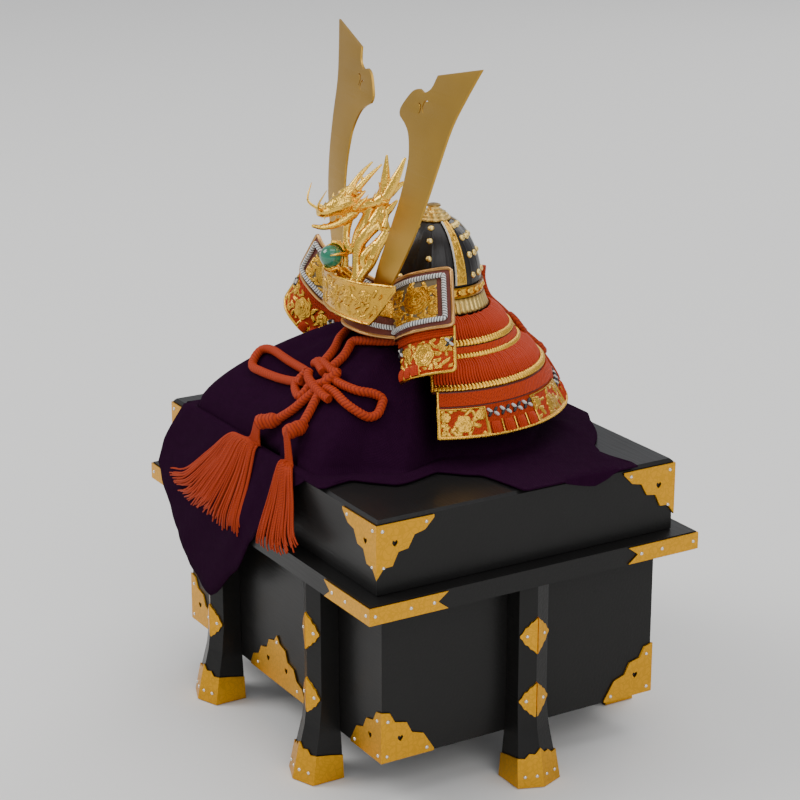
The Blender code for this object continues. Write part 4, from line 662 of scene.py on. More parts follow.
def nail_places():
    """Nail heads on the chest's gilt fittings: point, outward, along."""
    places = []
    for sx in (-1, 1):
        for sy in (-1, 1):
            for half, box_top, arm, drop, sign in ((Vector((LID_SIDE, LID_FRONT)), LID_TOP - 0.0022, 0.034,
                                                    0.030, -1),
                                                   (Vector((BODY_SIDE, BODY_FRONT)), 0.0269, 0.032, 0.0297,
                                                    1)):
                for away, fall in ((0.08, 0.12), (0.86, 0.10), (0.10, 0.80)):
                    z = box_top + sign*fall*drop
                    places.append((Vector((sx*(half.x - away*arm), sy*(half.y + 0.001), z)),
                                   Vector((0, sy, 0)), Vector((1, 0, 0))))
                    places.append((Vector((sx*(half.x + 0.001), sy*(half.y - away*arm), z)),
                                   Vector((sx, 0, 0)), Vector((0, 1, 0))))
            for away in (0.0025, 0.024, 0.038):
                places.append((Vector((sx*(FLANGE_SIDE - away), sy*0.1058, 0.1211)), Vector((0, sy, 0)),
                               Vector((1, 0, 0))))
                places.append((Vector((sx*0.1310, sy*(FLANGE_FRONT - away), 0.1211)), Vector((sx, 0, 0)),
                               Vector((0, 1, 0))))
    for x, z in ((-0.027, 0.0315), (0.021, 0.0315), (-0.003, 0.0525)):
        places.append((Vector((x, -0.0894, z)), Vector((0, -1, 0)), Vector((1, 0, 0))))
    return places


LEG_ASIDE = 0.0591
LEGS = ((-LEG_ASIDE, -BODY_FRONT, 0, -1), (LEG_ASIDE, -BODY_FRONT, 0, -1), (-LEG_ASIDE, BODY_FRONT, 0, 1),
        (LEG_ASIDE, BODY_FRONT, 0, 1), (BODY_SIDE, 0.0, 1, 0), (-BODY_SIDE, 0.0, -1, 0))


def leg_face(leg, side, across, z, lift):
    """A place on one slanting face of a leg: across runs from the ridge to the shoulder."""
    x, y, ox, oy = leg
    out, along = Vector((ox, oy, 0)), Vector((-oy, ox, 0))
    swell = max(0.0, 1 - z/0.0311)*0.22
    half, shoulder, ridge = 0.0094 + 0.0036*swell, 0.0115 + 0.0077*swell, 0.0152 + 0.009*swell
    reach = ridge + (shoulder - ridge)*across
    normal = (out*half + along*side*(ridge - shoulder)).normalized()
    return Vector((x, y, z)) + along*(side*half*across) + out*reach + normal*lift, normal


def leg_plates():
    """Two scalloped gilt lozenges bent over each leg's ridge, and the nails of the shoes."""
    shape, nails = Shape(), []
    outline = ((0.0, 1.0), (0.22, 0.78), (0.36, 0.72), (0.50, 0.52), (0.66, 0.46), (0.80, 0.20), (0.95, 0.0))
    for leg in LEGS:
        for centre in (0.0867, 0.0484):
            for side in (-1, 1):
                rings = []
                for across, reach in outline:
                    half = max(0.0006, reach*0.0112)
                    rings.append([leg_face(leg, side, across, centre + dz, lift)[0]
                                  for dz, lift in ((-half, 0.0), (half, 0.0), (half*0.94, 0.0009),
                                                   (-half*0.94, 0.0009))])
                points = [p for ring in rings for p in ring]
                faces = []
                for r in range(len(rings) - 1):
                    for k in range(4):
                        n = (k + 1) % 4
                        quad = (4*r + k, 4*r + n, 4*r + 4 + n, 4*r + 4 + k)
                        faces.append(quad if side > 0 else quad[::-1])
                ends = [(3, 2, 1, 0), tuple(4*len(rings) - 4 + k for k in range(4))]
                faces += ends if side > 0 else [end[::-1] for end in ends]
                shape.add(points, faces)
                place, normal = leg_face(leg, side, 0.56, centre, 0.0009)
                nails.append((place, normal, Vector((0, 0, 1))))
        x, y, ox, oy = leg
        out, along = Vector((ox, oy, 0)), Vector((-oy, ox, 0))
        for side in (-1, 1):
            normal = (out*0.0122 + along*side*0.005).normalized()
            for share in (0.25, 0.8):
                base = Vector((x, y, 0.0065)) + out*(0.0228 - 0.0038*share) + along*(side*0.0118*share)
                nails.append((base + normal*0.0007, normal, Vector((0, 0, 1))))
    keep(shape.make("leg_lozenges", ["satin_gilt"], 30), "gilt_plate")
    return nails


def dress_chest(sizes):
    for name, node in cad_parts.items():
        paint = None
        if name.startswith(("chest_", "leg_")):
            paint = "chest_lacquer"
        elif name.startswith(("lid_plate", "flange_plate", "body_plate", "shoe_")) or name == "front_plate":
            paint = "satin_gilt"
        elif name == "stand_post":
            paint = "turned_wood"
        elif name == "crest_bracket":
            paint = "brushed_gold"
        if paint:
            node.data.materials.clear()
            node.data.materials.append(bpy.data.materials[paint])
    nails = nail_places() + leg_plates()
    made = repeated("fitting_nails", dome_pattern(sizes.nail, sizes.nail*0.62), nails, "nail_silver",
                    spread=0.08, seed=3)
    keep(made, "gilt_plate")


# Cloth

CLOTH_SPOKES = (
    (-180, 0.30, 1.4, 0.46, 0.0), (-158, 0.30, 1.4, 0.44, 0.0), (-136, 0.31, 1.4, 0.46, 0.0),
    (-114, 0.33, 1.4, 0.52, 0.0), (-94, 0.36, 1.4, 0.53, 0.0), (-76, 0.39, 1.3, 0.56, 0.0),
    (-62, 0.43, 1.2, 0.62, 0.0), (-56, 0.50, 1.05, 0.60, 0.0), (-51, 0.60, 0.82, 0.64, 0.0),
    (-46, 0.68, 0.64, 0.71, 0.0), (-42, 0.70, 0.62, 0.80, 0.19), (-38, 0.68, 0.60, 0.80, 0.25),
    (-31, 0.62, 0.60, 0.80, 0.36), (-23, 0.57, 0.61, 0.80, 0.46), (-15, 0.55, 0.615, 0.80, 0.50),
    (-7, 0.54, 0.615, 0.80, 0.38), (1, 0.54, 0.615, 0.80, 0.24), (5, 0.54, 0.615, 0.80, 0.19),
    (10, 0.54, 0.615, 0.80, 0.11), (17, 0.54, 0.63, 0.80, 0.04), (25, 0.56, 0.68, 0.80, 0.0),
    (35, 0.48, 0.80, 0.53, 0.0), (48, 0.46, 0.95, 0.53, 0.0), (60, 0.33, 1.15, 0.42, 0.0),
    (74, 0.32, 1.3, 0.46, 0.0), (90, 0.34, 1.3, 0.80, 0.0), (102, 0.34, 1.3, 0.80, 0.03),
    (112, 0.34, 1.3, 0.80, 0.0), (118, 0.33, 1.3, 0.52, 0.0), (124, 0.32, 1.3, 0.48, 0.0),
    (150, 0.30, 1.4, 0.44, 0.0), (180, 0.30, 1.4, 0.46, 0.0))
CLOTH_REACH, CLOTH_NECK, NECK_RISE, SHOULDER_RISE, SHOULDER = 0.200, 0.0215, 0.070, 0.056, 0.12
OVERHANG, TO_FLANGE = 0.011, 0.0391
CLOTH_WALL = 0.0010


def spoke_row(azimuth):
    """A cloth spoke's values at any direction, on a smooth curve through the table."""
    for low, high in zip(CLOTH_SPOKES, CLOTH_SPOKES[1:]):
        if azimuth <= high[0]:
            share = (azimuth - low[0])/(high[0] - low[0])
            share = share*share*(3 - 2*share)*0.5 + share*0.5
            return [a + (b - a)*share for a, b in zip(low[1:], high[1:])]
    return list(CLOTH_SPOKES[-1][1:])


def cloth_profile(share, power):
    if share < SHOULDER:
        return NECK_RISE + (SHOULDER_RISE - NECK_RISE)*max(0.0, share)/SHOULDER
    slope = max(0.0, 1 - share)**power*(NECK_RISE - 0.0006)
    soft = 0.0015
    low = min(SHOULDER_RISE - 0.0006, slope)
    blend = math.exp(-abs(SHOULDER_RISE - slope)/0.004)
    return 0.0006 + low - soft*blend*0.5


def cloth_folds(azimuth, share):
    """Small standing folds that run down the slope, and a broad one at the right."""
    fade = math.sin(math.pi*min(1.0, max(0.0, share)))
    turn = math.radians(azimuth)
    waves = (0.0009*math.sin(9*turn + 1.3) + 0.0006*math.sin(17*turn + 0.4 + 3*share)
             + 0.0004*math.sin(31*turn + 5*share))
    ridge = (0.0022*math.exp(-((azimuth - 44 - 9*share)/3.2)**2)
             - 0.0014*math.exp(-((azimuth - 53 - 6*share)/3.0)**2))
    return (waves + ridge)*fade


def cloth_spoke(azimuth):
    turn = math.radians(azimuth)
    out = Vector((math.sin(turn), -math.cos(turn), 0))
    foot, power, reach, hang = spoke_row(azimuth)
    gap = 0.0006
    reach_x = (LID_SIDE + gap)/max(abs(out.x), 1e-6)
    reach_y = (LID_FRONT + gap + (BOWL_BACK if out.y < 0 else -BOWL_BACK))/max(abs(out.y), 1e-6)
    edge, front = (reach_x, False) if reach_x < reach_y else (reach_y, True)
    end = min(reach*CLOTH_REACH, edge)
    foot_at = min(foot*CLOTH_REACH, end - 0.004)
    places = []
    for angle in (74, 62, 50, 36, 22):
        lean = math.radians(angle)
        radius, z = (BOWL_RADIUS - 0.0043)*math.cos(lean), BOWL_FOOT + (BOWL_RISE - 0.0043)*math.sin(lean)
        places.append(AXIS + out*radius + Vector((0, 0, z)))
    for i in range(34):
        share = i/33
        radius = CLOTH_NECK + share*(foot_at - CLOTH_NECK)
        rise = max(0.0008, cloth_profile(share, power) + cloth_folds(azimuth, share))
        places.append(AXIS + out*radius + Vector((0, 0, LID_TOP + rise)))
    flat = 8
    for i in range(1, flat + 1):
        radius = foot_at + (end - foot_at)*i/flat
        ripple = 0.0011*max(0.0, math.sin(math.radians(azimuth)*13 + radius*170))*math.sin(math.pi*i/flat)
        places.append(AXIS + out*radius + Vector((0, 0, LID_TOP + 0.0008 + ripple)))
    corner = places[-1]
    wall = (Vector((0, -1, 0)) if front and out.y < 0 else
            Vector((math.copysign(1, out.x), 0, 0)) if not front else Vector((0, 1, 0)))
    along = out - wall*out.dot(wall)
    total = hang*CLOTH_REACH
    steps = 14
    for i in range(1, steps + 1):
        fall = total*i/steps
        if total < 0.002 or end < edge - 1e-6:
            places.append(corner + out*(0.0030*i/steps))
            continue
        proud = OVERHANG*min(1.0, fall/TO_FLANGE)
        sway = 0.0012*math.sin(azimuth*0.42 + fall*90)*min(1.0, fall/0.02)
        places.append(corner + wall*(proud + max(0.0, sway)) + along*(fall*0.8) - Vector((0, 0, fall)))
    return places


def make_cloth():
    count = 240
    spokes = [cloth_spoke(-180 + 360*i/count) for i in range(count)]
    rows = len(spokes[0])
    shape = Shape()
    points = [spoke[k] for k in range(rows) for spoke in spokes]
    faces = [tuple(range(count - 1, -1, -1))]
    for k in range(rows - 1):
        for i in range(count):
            j = (i + 1) % count
            faces.append((k*count + i, (k + 1)*count + i, (k + 1)*count + j, k*count + j))
    shape.add(points, faces, [(p.x, p.y) for p in points])
    made = shape.make("display_cloth_draped", ["woven_cloth"], 80)
    bottom = BVHTree.FromObject(made, bpy.context.evaluated_depsgraph_get())
    wall = made.modifiers.new("wall", "SOLIDIFY")
    wall.thickness, wall.offset = CLOTH_WALL, 1.0
    keep(made, "aubergine_cloth", "display_cloth")
    return bottom


def on_cloth(surface, side, forward, lift, radius):
    """A cord's centre that lies on the cloth at a place in plan, raised by a share of its diameter."""
    hit, normal, _, _ = surface.ray_cast(Vector((side, -forward, 0.40)), Vector((0, 0, -1)))
    while hit is not None and hit.z > 0.245:
        hit, normal, _, _ = surface.ray_cast(hit - Vector((0, 0, 0.0005)), Vector((0, 0, -1)))
    if hit is None:
        hit, normal = Vector((side, -forward, LID_TOP)), Vector((0, 0, 1))
    if normal.z < 0:
        normal = -normal
    return hit + normal*(CLOTH_WALL + radius) + Vector((0, 0, 2*radius*lift))


# Cords and tassels

LOOP_ROUTE = (
    (-0.0020, 0.0568, 0.1), (-0.0035, 0.0505, 0.0), (-0.0098, 0.0437, 0.0), (-0.0163, 0.0367, 0.0),
    (-0.0215, 0.0270, 0.1), (-0.0265, 0.0120, 0.2), (-0.0305, -0.0020, 0.2), (-0.0315, -0.0150, 0.2),
    (-0.0265, -0.0300, 0.2), (-0.0150, -0.0410, 0.2), (0.0, -0.0450, 0.2), (0.0150, -0.0410, 0.2),
    (0.0265, -0.0300, 0.2), (0.0315, -0.0150, 0.2), (0.0305, -0.0020, 0.2), (0.0260, 0.0120, 0.2),
    (0.0180, 0.0255, 0.2), (0.0070, 0.0340, 0.1), (0.0008, 0.0385, 0.0), (0.0024, 0.0430, 0.0),
    (0.0044, 0.0475, 0.0), (0.0052, 0.0560, 0.1))
BOW_ROUTES = (
    (
        (-0.0065, 0.0636, 0.3), (-0.0130, 0.0610, 0.1), (-0.0330, 0.0607, 0.0), (-0.0540, 0.0600, 0.0),
        (-0.0620, 0.0625, 0.0), (-0.0620, 0.0672, 0.0), (-0.0575, 0.0709, 0.0), (-0.0460, 0.0714, 0.0),
        (-0.0300, 0.0694, 0.0), (-0.0147, 0.0681, 0.1), (-0.0035, 0.0679, 0.3)),
    (
        (0.0100, 0.0610, 0.3), (0.0155, 0.0593, 0.3), (0.0217, 0.0583, 0.1), (0.0312, 0.0548, 0.0),
        (0.0348, 0.0479, 0.0), (0.0380, 0.0439, 0.0), (0.0407, 0.0449, 0.0), (0.0421, 0.0496, 0.0),
        (0.0416, 0.0551, 0.0), (0.0391, 0.0594, 0.0), (0.0334, 0.0625, 0.0), (0.0230, 0.0630, 0.1),
        (0.0157, 0.0645, 0.3)),
    (
        (0.0060, 0.0600, 0.5), (-0.0054, 0.0570, 0.2), (-0.0110, 0.0560, 0.1), (-0.0075, 0.0548, 0.1),
        (0.0020, 0.0560, 0.3), (0.0110, 0.0570, 0.4), (0.0149, 0.0560, 0.4)),
    (
        (-0.0049, 0.0640, 0.5), (-0.0083, 0.0690, 0.1), (-0.0021, 0.0724, 0.1), (0.0038, 0.0725, 0.2),
        (0.0048, 0.0660, 0.5)),
    (
        (-0.0030, 0.0640, 0.7), (0.0010, 0.0666, 0.8), (0.0096, 0.0681, 0.8), (0.0191, 0.0683, 0.5),
        (0.0251, 0.0673, 0.2)),
    ((0.0149, 0.0560, 0.4), (0.0154, 0.0600, 0.7), (0.0145, 0.0638, 0.7), (0.0090, 0.0663, 0.4)),
    ((0.0122, 0.0650, 0.3), (0.0085, 0.0728, 0.1), (0.0045, 0.0785, 0.0), (-0.0030, 0.0845, 0.1)),
    ((0.0145, 0.0660, 0.3), (0.0173, 0.0726, 0.1), (0.0190, 0.0762, 0.0), (0.0214, 0.0825, 0.1)))
TASSELS = (
    (
        "left", (-0.0060, 0.0868, 0.30),
        (
            (-0.1000, 0.037), (-0.0887, 0.044), (-0.0714, 0.0475), (-0.0516, 0.0475), (-0.0312, 0.0505),
            (-0.0080, 0.047))),
    ("right", (0.0222, 0.0850, 0.30), ((0.0111, 0.044), (0.0254, 0.0445), (0.0407, 0.041), (0.0580, 0.034)))
)
REAR_LINE = (
    (0.0, 0.0020, 0.0), (0.0, -0.0065, 0.0), (0.0, -0.0165, 0.0), (0.0, -0.0250, 0.1), (0.0, -0.0310, 0.5))
REAR_LOOP = ((0.0010, -0.0310, 0.4), (0.0090, -0.0270, 0.0), (0.0170, -0.0280, 0.0), (0.0185, -0.0335, 0.0),
             (0.0130, -0.0360, 0.0), (0.0010, -0.0335, 0.4))
REAR_TAIL = ((0.0010, -0.0335, 0.4), (0.0065, -0.0400, 0.0), (0.0090, -0.0460, 0.0), (0.0095, -0.0500, 0.0))


def plait_relief(radius, columns=4, pitch=2.1, slope=0.9):
    """How far the plaits of a cord stand out, by the turn round it and the metres along it."""
    def raised(turn, run):
        zigzag = abs((turn*columns + 1) % 2 - 1)
        return radius*0.13*(abs(math.sin(math.pi*(run*1000/pitch + slope*zigzag)))**0.6 - 0.7)
    return raised


def tassel_strands(shape, head, tips, radius, count, seed, surface):
    """Twisted threads that fan from a head over the cloth's edge and hang in front of the chest."""
    rng = random.Random(seed)
    for i in range(count):
        fan = (i + rng.uniform(0.1, 0.9))/count*(len(tips) - 1)
        low = min(int(fan), len(tips) - 2)
        share = fan - low
        side = tips[low][0] + (tips[low + 1][0] - tips[low][0])*share + rng.uniform(-0.0018, 0.0018)
        drop = (tips[low][1] + (tips[low + 1][1] - tips[low][1])*share)*rng.uniform(0.90, 1.04)
        layer = rng.uniform(0.0, 2.4)*radius
        turn = rng.uniform(0, math.tau)
        start = head + Vector((math.cos(turn)*0.0026, -0.0012, math.sin(turn)*0.0022))
        knee = min(0.85*drop, TO_FLANGE)
        line = [start]
        middle = Vector((head.x + 0.15*(side - head.x), 0, 0))
        line.append(on_cloth(surface, middle.x, (-head.y + LID_FRONT)/2, 0.0, radius) + Vector((0, 0, layer)))
        for part, rise in ((0.33, 0.0022), (0.55, -0.45*knee), (0.80, -knee), (1.0, -drop)):
            across = head.x + (side - head.x)*part + rng.uniform(-0.0007, 0.0007)
            down = min(1.0, max(0.0, -rise/TO_FLANGE))
            y = LID_FRONT + 0.0006 + CLOTH_WALL*1.2 + OVERHANG*down + radius*1.2 + layer*(
                0.9 if part < 1 else 0.5)
            line.append(Vector((across, -min(y, 0.1136), LID_TOP + rise)))
        line = smooth_line(line, 0.0032)
        tube(shape, line, lambda s: radius*(1.0 - 0.35*max(0.0, s - 0.85)/0.15), 6)


def tassel_head(shape, head, along, size, finish=0):
    """A plaited cap that swells from the cord to the threads."""
    profile = (
        (-1.9, 0.52), (-1.5, 0.72), (-1.0, 0.95), (-0.4, 1.05), (0.2, 1.0), (0.7, 0.95), (1.0, 1.04),
        (1.25, 0.98), (1.5, 0.8))
    line = [head + along*(p*size) for p, _ in profile]
    line = smooth_line(line, size/7)
    sizes = [r for _, r in profile]

    def radius(share):
        at = share*(len(sizes) - 1)
        low = min(int(at), len(sizes) - 2)
        return size*(sizes[low] + (sizes[low + 1] - sizes[low])*(at - low))
    tube(shape, line, radius, 28, finish, relief=plait_relief(size, 8, 1.5, 0.7))


def make_cords(sizes, surface):
    radius = sizes.cord/2
    loop = smooth_line([on_cloth(surface, s, f, lift, radius) for s, f, lift in LOOP_ROUTE], 0.00045)
    shape = Shape()
    tube(shape, loop, radius, 20, relief=plait_relief(radius))
    cord = keep(shape.make("chin_cord_plaited", ["plaited_silk"]), "orange_silk", "chin_cord")
    shape = Shape()
    for route in BOW_ROUTES:
        line = smooth_line([on_cloth(surface, s, f, lift, radius) for s, f, lift in route], 0.00045)
        tube(shape, line, radius, 20, relief=plait_relief(radius))
    bow = keep(shape.make("chin_bow_plaited", ["plaited_silk"]), "orange_silk", "chin_bow")
    for name, place, tips in TASSELS:
        head = on_cloth(surface, place[0], place[1], place[2], 0.0042)
        end = BOW_ROUTES[6 if name == "left" else 7][-1]
        along = (head - on_cloth(surface, end[0], end[1], end[2], radius)).normalized()
        shape = Shape()
        tassel_head(shape, head, along, 0.0042, 1)
        neck = head + along*0.0045
        tassel_strands(shape, neck, tips, 0.00062,
                       sizes.threads if name == "left" else int(sizes.threads*0.62), 11, surface)
        keep(shape.make("tassel_threads_" + name, ["tassel_silk", "plaited_silk"]), "orange_silk",
             "tassel_" + name)
    tuple(loop[0])
    [tuple(p) for p in loop[::4] + [loop[-1]]]


def guard_radius(z):
    for (z_high, r_high), (z_low, r_low) in zip(GUARD_PROFILE, GUARD_PROFILE[1:]):
        if z >= z_low:
            share = (z_high - z)/(z_high - z_low)
            return r_high + (r_low - r_high)*share if share > 0 else r_high
    return GUARD_PROFILE[-1][1]


def on_guard(side, rise, lift, thick):
    z = BOWL_FOOT + rise
    ring = 0.0318
    radius = guard_radius(z) if z < BAND_FOOT else ring + (GUARD_PROFILE[0][1] - ring)*max(
        0.0, (RING_FOOT - z)/(RING_FOOT - BAND_FOOT))
    radius += 1.25*(thick/2 + 0.0015) + lift*thick
    turn = side/radius
    return GUARD_AXIS + Vector((radius*math.sin(turn), radius*math.cos(turn), z))


def make_rear_cord(sizes):
    """The cord at the back of the bowl, its bow and its two tassels."""
    thick = sizes.rear_cord
    shape = Shape()
    line = smooth_line([on_guard(s, rise, lift, thick) for s, rise, lift in REAR_LINE], 0.0005)
    tube(shape, line, thick/2, 16, relief=plait_relief(thick/2, 4, 1.7))
    rng = random.Random(5)
    for side in (-1, 1):
        for route in (REAR_LOOP, REAR_TAIL):
            line = smooth_line([on_guard(side*s, rise, lift, thick) for s, rise, lift in route], 0.0005)
            tube(shape, line, thick/2, 16, relief=plait_relief(thick/2, 4, 1.7))
        head, last = line[-1], line[-3]
        tassel_head(shape, head, (head - last).normalized(), 0.0027)
        for i in range(26):
            fan = 0.0035 + 0.0125*(i + 0.5)/26
            end = on_guard(side*(fan + rng.uniform(-0.0006, 0.0006)), -0.069 + rng.uniform(-0.001, 0.002),
                           0.1, thick)
            middle = on_guard(side*(REAR_TAIL[-1][0] + (fan - REAR_TAIL[-1][0])*0.6), -0.0595, 0.15, thick)
            jitter = Vector((rng.uniform(-1, 1), rng.uniform(-0.6, 0.6), 0))*0.0008
            tube(shape, smooth_line([head + jitter, middle + jitter, end + jitter], 0.003), 0.00055, 6, 1)
    keep(shape.make("rear_bow_plaited", ["plaited_silk", "tassel_silk"]), "orange_silk", "rear_bow")


# Bowl, band and neck guard

def dome(angle, lift=0.0):
    turn = math.radians(angle)
    return (BOWL_RADIUS + lift)*math.cos(turn), BOWL_FOOT + (BOWL_RISE + lift)*math.sin(turn)


def on_bowl(azimuth, angle, lift=0.0):
    radius, z = dome(angle, lift)
    turn = math.radians(azimuth)
    return AXIS + Vector((radius*math.sin(turn), -radius*math.cos(turn), z))


def bowl_normal(azimuth, angle):
    return (on_bowl(azimuth, angle, 0.001) - on_bowl(azimuth, angle)).normalized()


def make_bowl(sizes):
    shape = Shape()
    outside = [dome(a) for a in range(0, 84, 3)]
    inside = [dome(a, -0.0022) for a in range(81, -1, -9)]

    def ribs(turn, k):
        if k >= len(outside):
            return 0.0
        edge = abs((math.degrees(turn)/18.5) % 1 - 0.5)*2
        return 0.00035*max(0.0, edge - 0.86)/0.14*math.cos(math.radians(3*k))
    turned(shape, outside + inside, AXIS, 240, rim=ribs)
    keep(shape.make("bowl_ribbed", ["bowl_lacquer"], 60), "black_lacquer", "bowl")
    places = []
    for azimuth in (15, 52, 114, 129, 150, 210, 231, 246, 308, 345):
        for angle in (8, 27, 45, 61):
            normal = bowl_normal(azimuth, angle)
            places.append((on_bowl(azimuth, angle), normal, Vector((0, 0, 1)).cross(normal)))
    rivets = repeated("bowl_rivets", dome_pattern(sizes.rivet, sizes.rivet*0.78, 14, 5), places,
                      "pale_metal", spread=0.05, seed=7)
    keep(rivets, "pale_gold")
    for name, azimuth in (("front", 0), ("right", 92), ("back", 180), ("left", 268)):
        shape = Shape()
        columns, rows = 26, 84
        heights = relief(0.0066, 0.040, columns, rows, [(0.0033, 0.007, 0.0022), (0.0033, 0.018, 0.0022),
                                                        (0.0033, 0.029, 0.0018)],
                         int(azimuth) + 2, leaves=40)*0.0007

        def place(u, v, lift):
            angle = 2 + 66*v
            half = 6.75*(1 - 0.35*angle/90)/max(0.35, math.cos(math.radians(angle))**0.5)
            return on_bowl(azimuth + (2*u - 1)*half, angle, lift)
        sheet(shape, place, columns, rows, 0.0003, 0.0010, 0, heights)
        for edge, paint in ((0.0, 1), (1.0, 0)):
            tube(shape, [place(edge, j/30, 0.0010) for j in range(31)], 0.00055, 8, paint)
        keep(shape.make("bowl_strip_cast_" + name, ["relief_gold", "knot_white"]), "gilt_plate",
             "bowl_strip_" + name)


def make_crown():
    """The tiered fitting at the bowl's top, with grooved petals."""
    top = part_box("crown_fitting")[1].z
    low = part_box("crown_fitting")[0].z
    reach = (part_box("crown_fitting")[1].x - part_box("crown_fitting")[0].x)/2
    rise = top - low
    profile = (
        (0.42, 0.30), (0.80, 0.06), (0.97, 0.0), (1.0, 0.06), (0.98, 0.14), (0.86, 0.20), (0.84, 0.34),
        (0.74, 0.38), (0.70, 0.50), (0.52, 0.54), (0.48, 0.64), (0.36, 0.66), (0.34, 0.82), (0.40, 0.86),
        (0.38, 0.94), (0.24, 1.0), (0.02, 1.0), (0.02, 0.4))

    def petals(turn, k):
        return -0.0006*abs(
            math.cos(turn*8)) if 1 < k < 8 else -0.0004*abs(math.cos(turn*6)) if 7 < k < 12 else 0.0
    shape = Shape()
    turned(shape, [(r*reach, low + h*rise) for r, h in profile], AXIS, 160, rim=petals)
    keep(shape.make("crown_petals", ["pale_metal"], 35), "pale_gold", "crown_fitting")


def make_band():
    shape = Shape()
    low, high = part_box("fluted_band")
    foot, top = (high.x - low.x)/2, (high.x - low.x)/2 - 0.003
    z0, z1 = low.z, high.z
    profile = [(foot - 0.0035, z0), (foot - 0.0008, z0), (foot, z0 + 0.0012)]
    profile += [
        (foot + (top - foot)*s, z0 + (z1 - z0)*s) for s in (0.3, 0.5, 0.7, 0.86)
    ] + [(top, z1), (top - 0.0035, z1)]

    def flutes(turn, k):
        return -0.0008*(1 - abs(math.sin(turn*26)))**1.6 if 1 <= k <= 6 else 0.0
    turned(shape, profile, AXIS, 416, rim=flutes)
    keep(shape.make("fluted_band_cast", ["pale_metal"], 60), "pale_gold", "fluted_band")
    ring_low, ring_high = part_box("stud_ring")
    radius, middle = (ring_high.x - ring_low.x)/2, (ring_low.z + ring_high.z)/2
    shape = Shape()
    profile = (
        (radius - 0.004, ring_low.z), (radius + 0.0006, ring_low.z), (radius + 0.0006, ring_low.z + 0.0010),
        (radius - 0.0002, ring_low.z + 0.0014), (radius - 0.0002, ring_high.z - 0.0014),
        (radius + 0.0006, ring_high.z - 0.0010), (radius + 0.0006, ring_high.z),
        (radius - 0.004, ring_high.z))
    turned(shape, profile, AXIS, 128)
    keep(shape.make("stud_ring_turned", ["relief_gold"], 35), "gilt_plate", "stud_ring")
    places = []
    for i in range(26):
        turn = math.tau*(i + 0.5)/26
        out = Vector((math.sin(turn), -math.cos(turn), 0))
        places.append((AXIS + out*(radius - 0.0002) + Vector((0, 0, middle)), out, Vector((0, 0, 1))))
    keep(repeated("ring_studs", dome_pattern(0.0019, 0.0017, 14, 5), places, "relief_gold", spread=0.04,
                  seed=9), "gilt_plate")


def guard_place(row, azimuth, share, lift):
    """A place on one row of the neck guard: share runs down the row."""
    (z0, r0), (z1, r1) = GUARD_PROFILE[row], GUARD_PROFILE[row + 1]
    slope = Vector((z0 - z1, r1 - r0)).normalized()
    turn = math.radians(azimuth)
    out = Vector((math.sin(turn), -math.cos(turn), 0))
    return GUARD_AXIS + out*(r0 + (r1 - r0)*share + slope.x*lift) + Vector(
        (0, 0, z0 + (z1 - z0)*share + slope.y*lift))


def guard_frame(row, azimuth, share, lift):
    place = guard_place(row, azimuth, share, lift)
    outward = (guard_place(row, azimuth, share, lift + 0.001) - place).normalized()
    turn = math.radians(azimuth)
    return place, outward, Vector((math.cos(turn), math.sin(turn), 0))


def lace_pattern(length, width):
    """One upright lacing cord: it lies flat, swells and bends to one side like a drawn loop."""
    shape = Shape()
    line = []
    for i in range(9):
        s = i/8
        line.append(Vector((0.34*width*math.sin(math.tau*s), -length*(s - 0.5),
                            0.25*width + 0.85*width*math.sin(math.pi*s))))
    tube(shape, line, lambda s: width*(0.42 + 0.14*math.sin(math.pi*s)), 7)
    return shape.make("pattern_lace", ["lacing_silk"])


def scale_pattern(width, height):
    """A gilt scale head: a rounded, leaning plate."""
    shape = Shape()
    outline = (
        (-0.46, -0.5), (0.46, -0.5), (0.50, 0.20), (0.34, 0.44), (0.0, 0.52), (-0.34, 0.36), (-0.46, 0.1))
    points = []
    for z, inset in ((-0.2, 1.0), (0.26, 1.0), (0.42, 0.72)):
        points += [Vector((x*width*inset, y*height*inset, z*width + 0.18*width*(x + 0.5)*(z > 0))) for x,
                   y in outline]
    n = len(outline)
    faces = [tuple(range(n - 1, -1, -1)), tuple(range(2*n, 3*n))]
    for ring in (0, 1):
        faces += [(ring*n + i, ring*n + (i + 1) % n, (ring + 1)*n + (i + 1) % n,
                   (ring + 1)*n + i) for i in range(n)]
    shape.add(points, faces)
    return shape.make("pattern_scale", ["relief_gold"])


def arc_places(row, share, lift, pitch, start, end, turn=0.0):
    radius = guard_place(row, 0, share, 0).y*-1 + GUARD_AXIS.y
    count = max(1, round(math.radians(end - start)*radius/pitch))
    places = []
    for i in range(count):
        place, outward, along = guard_frame(row, start + (end - start)*(i + 0.5)/count, share, lift)
        along = Matrix.Rotation(math.radians(turn), 3, outward) @ along
        places.append((place, outward, along))
    return places


def guard_shell(shape, row, start, end, low, high, finish, top=0.0, bottom=1.0, columns=120):
    def place(u, v, lift):
        return guard_place(row, start + (end - start)*u, top + (bottom - top)*v, lift)
    sheet(shape, lambda u, v, lift: place(1 - u, v, lift), columns, 4, low, high, finish)


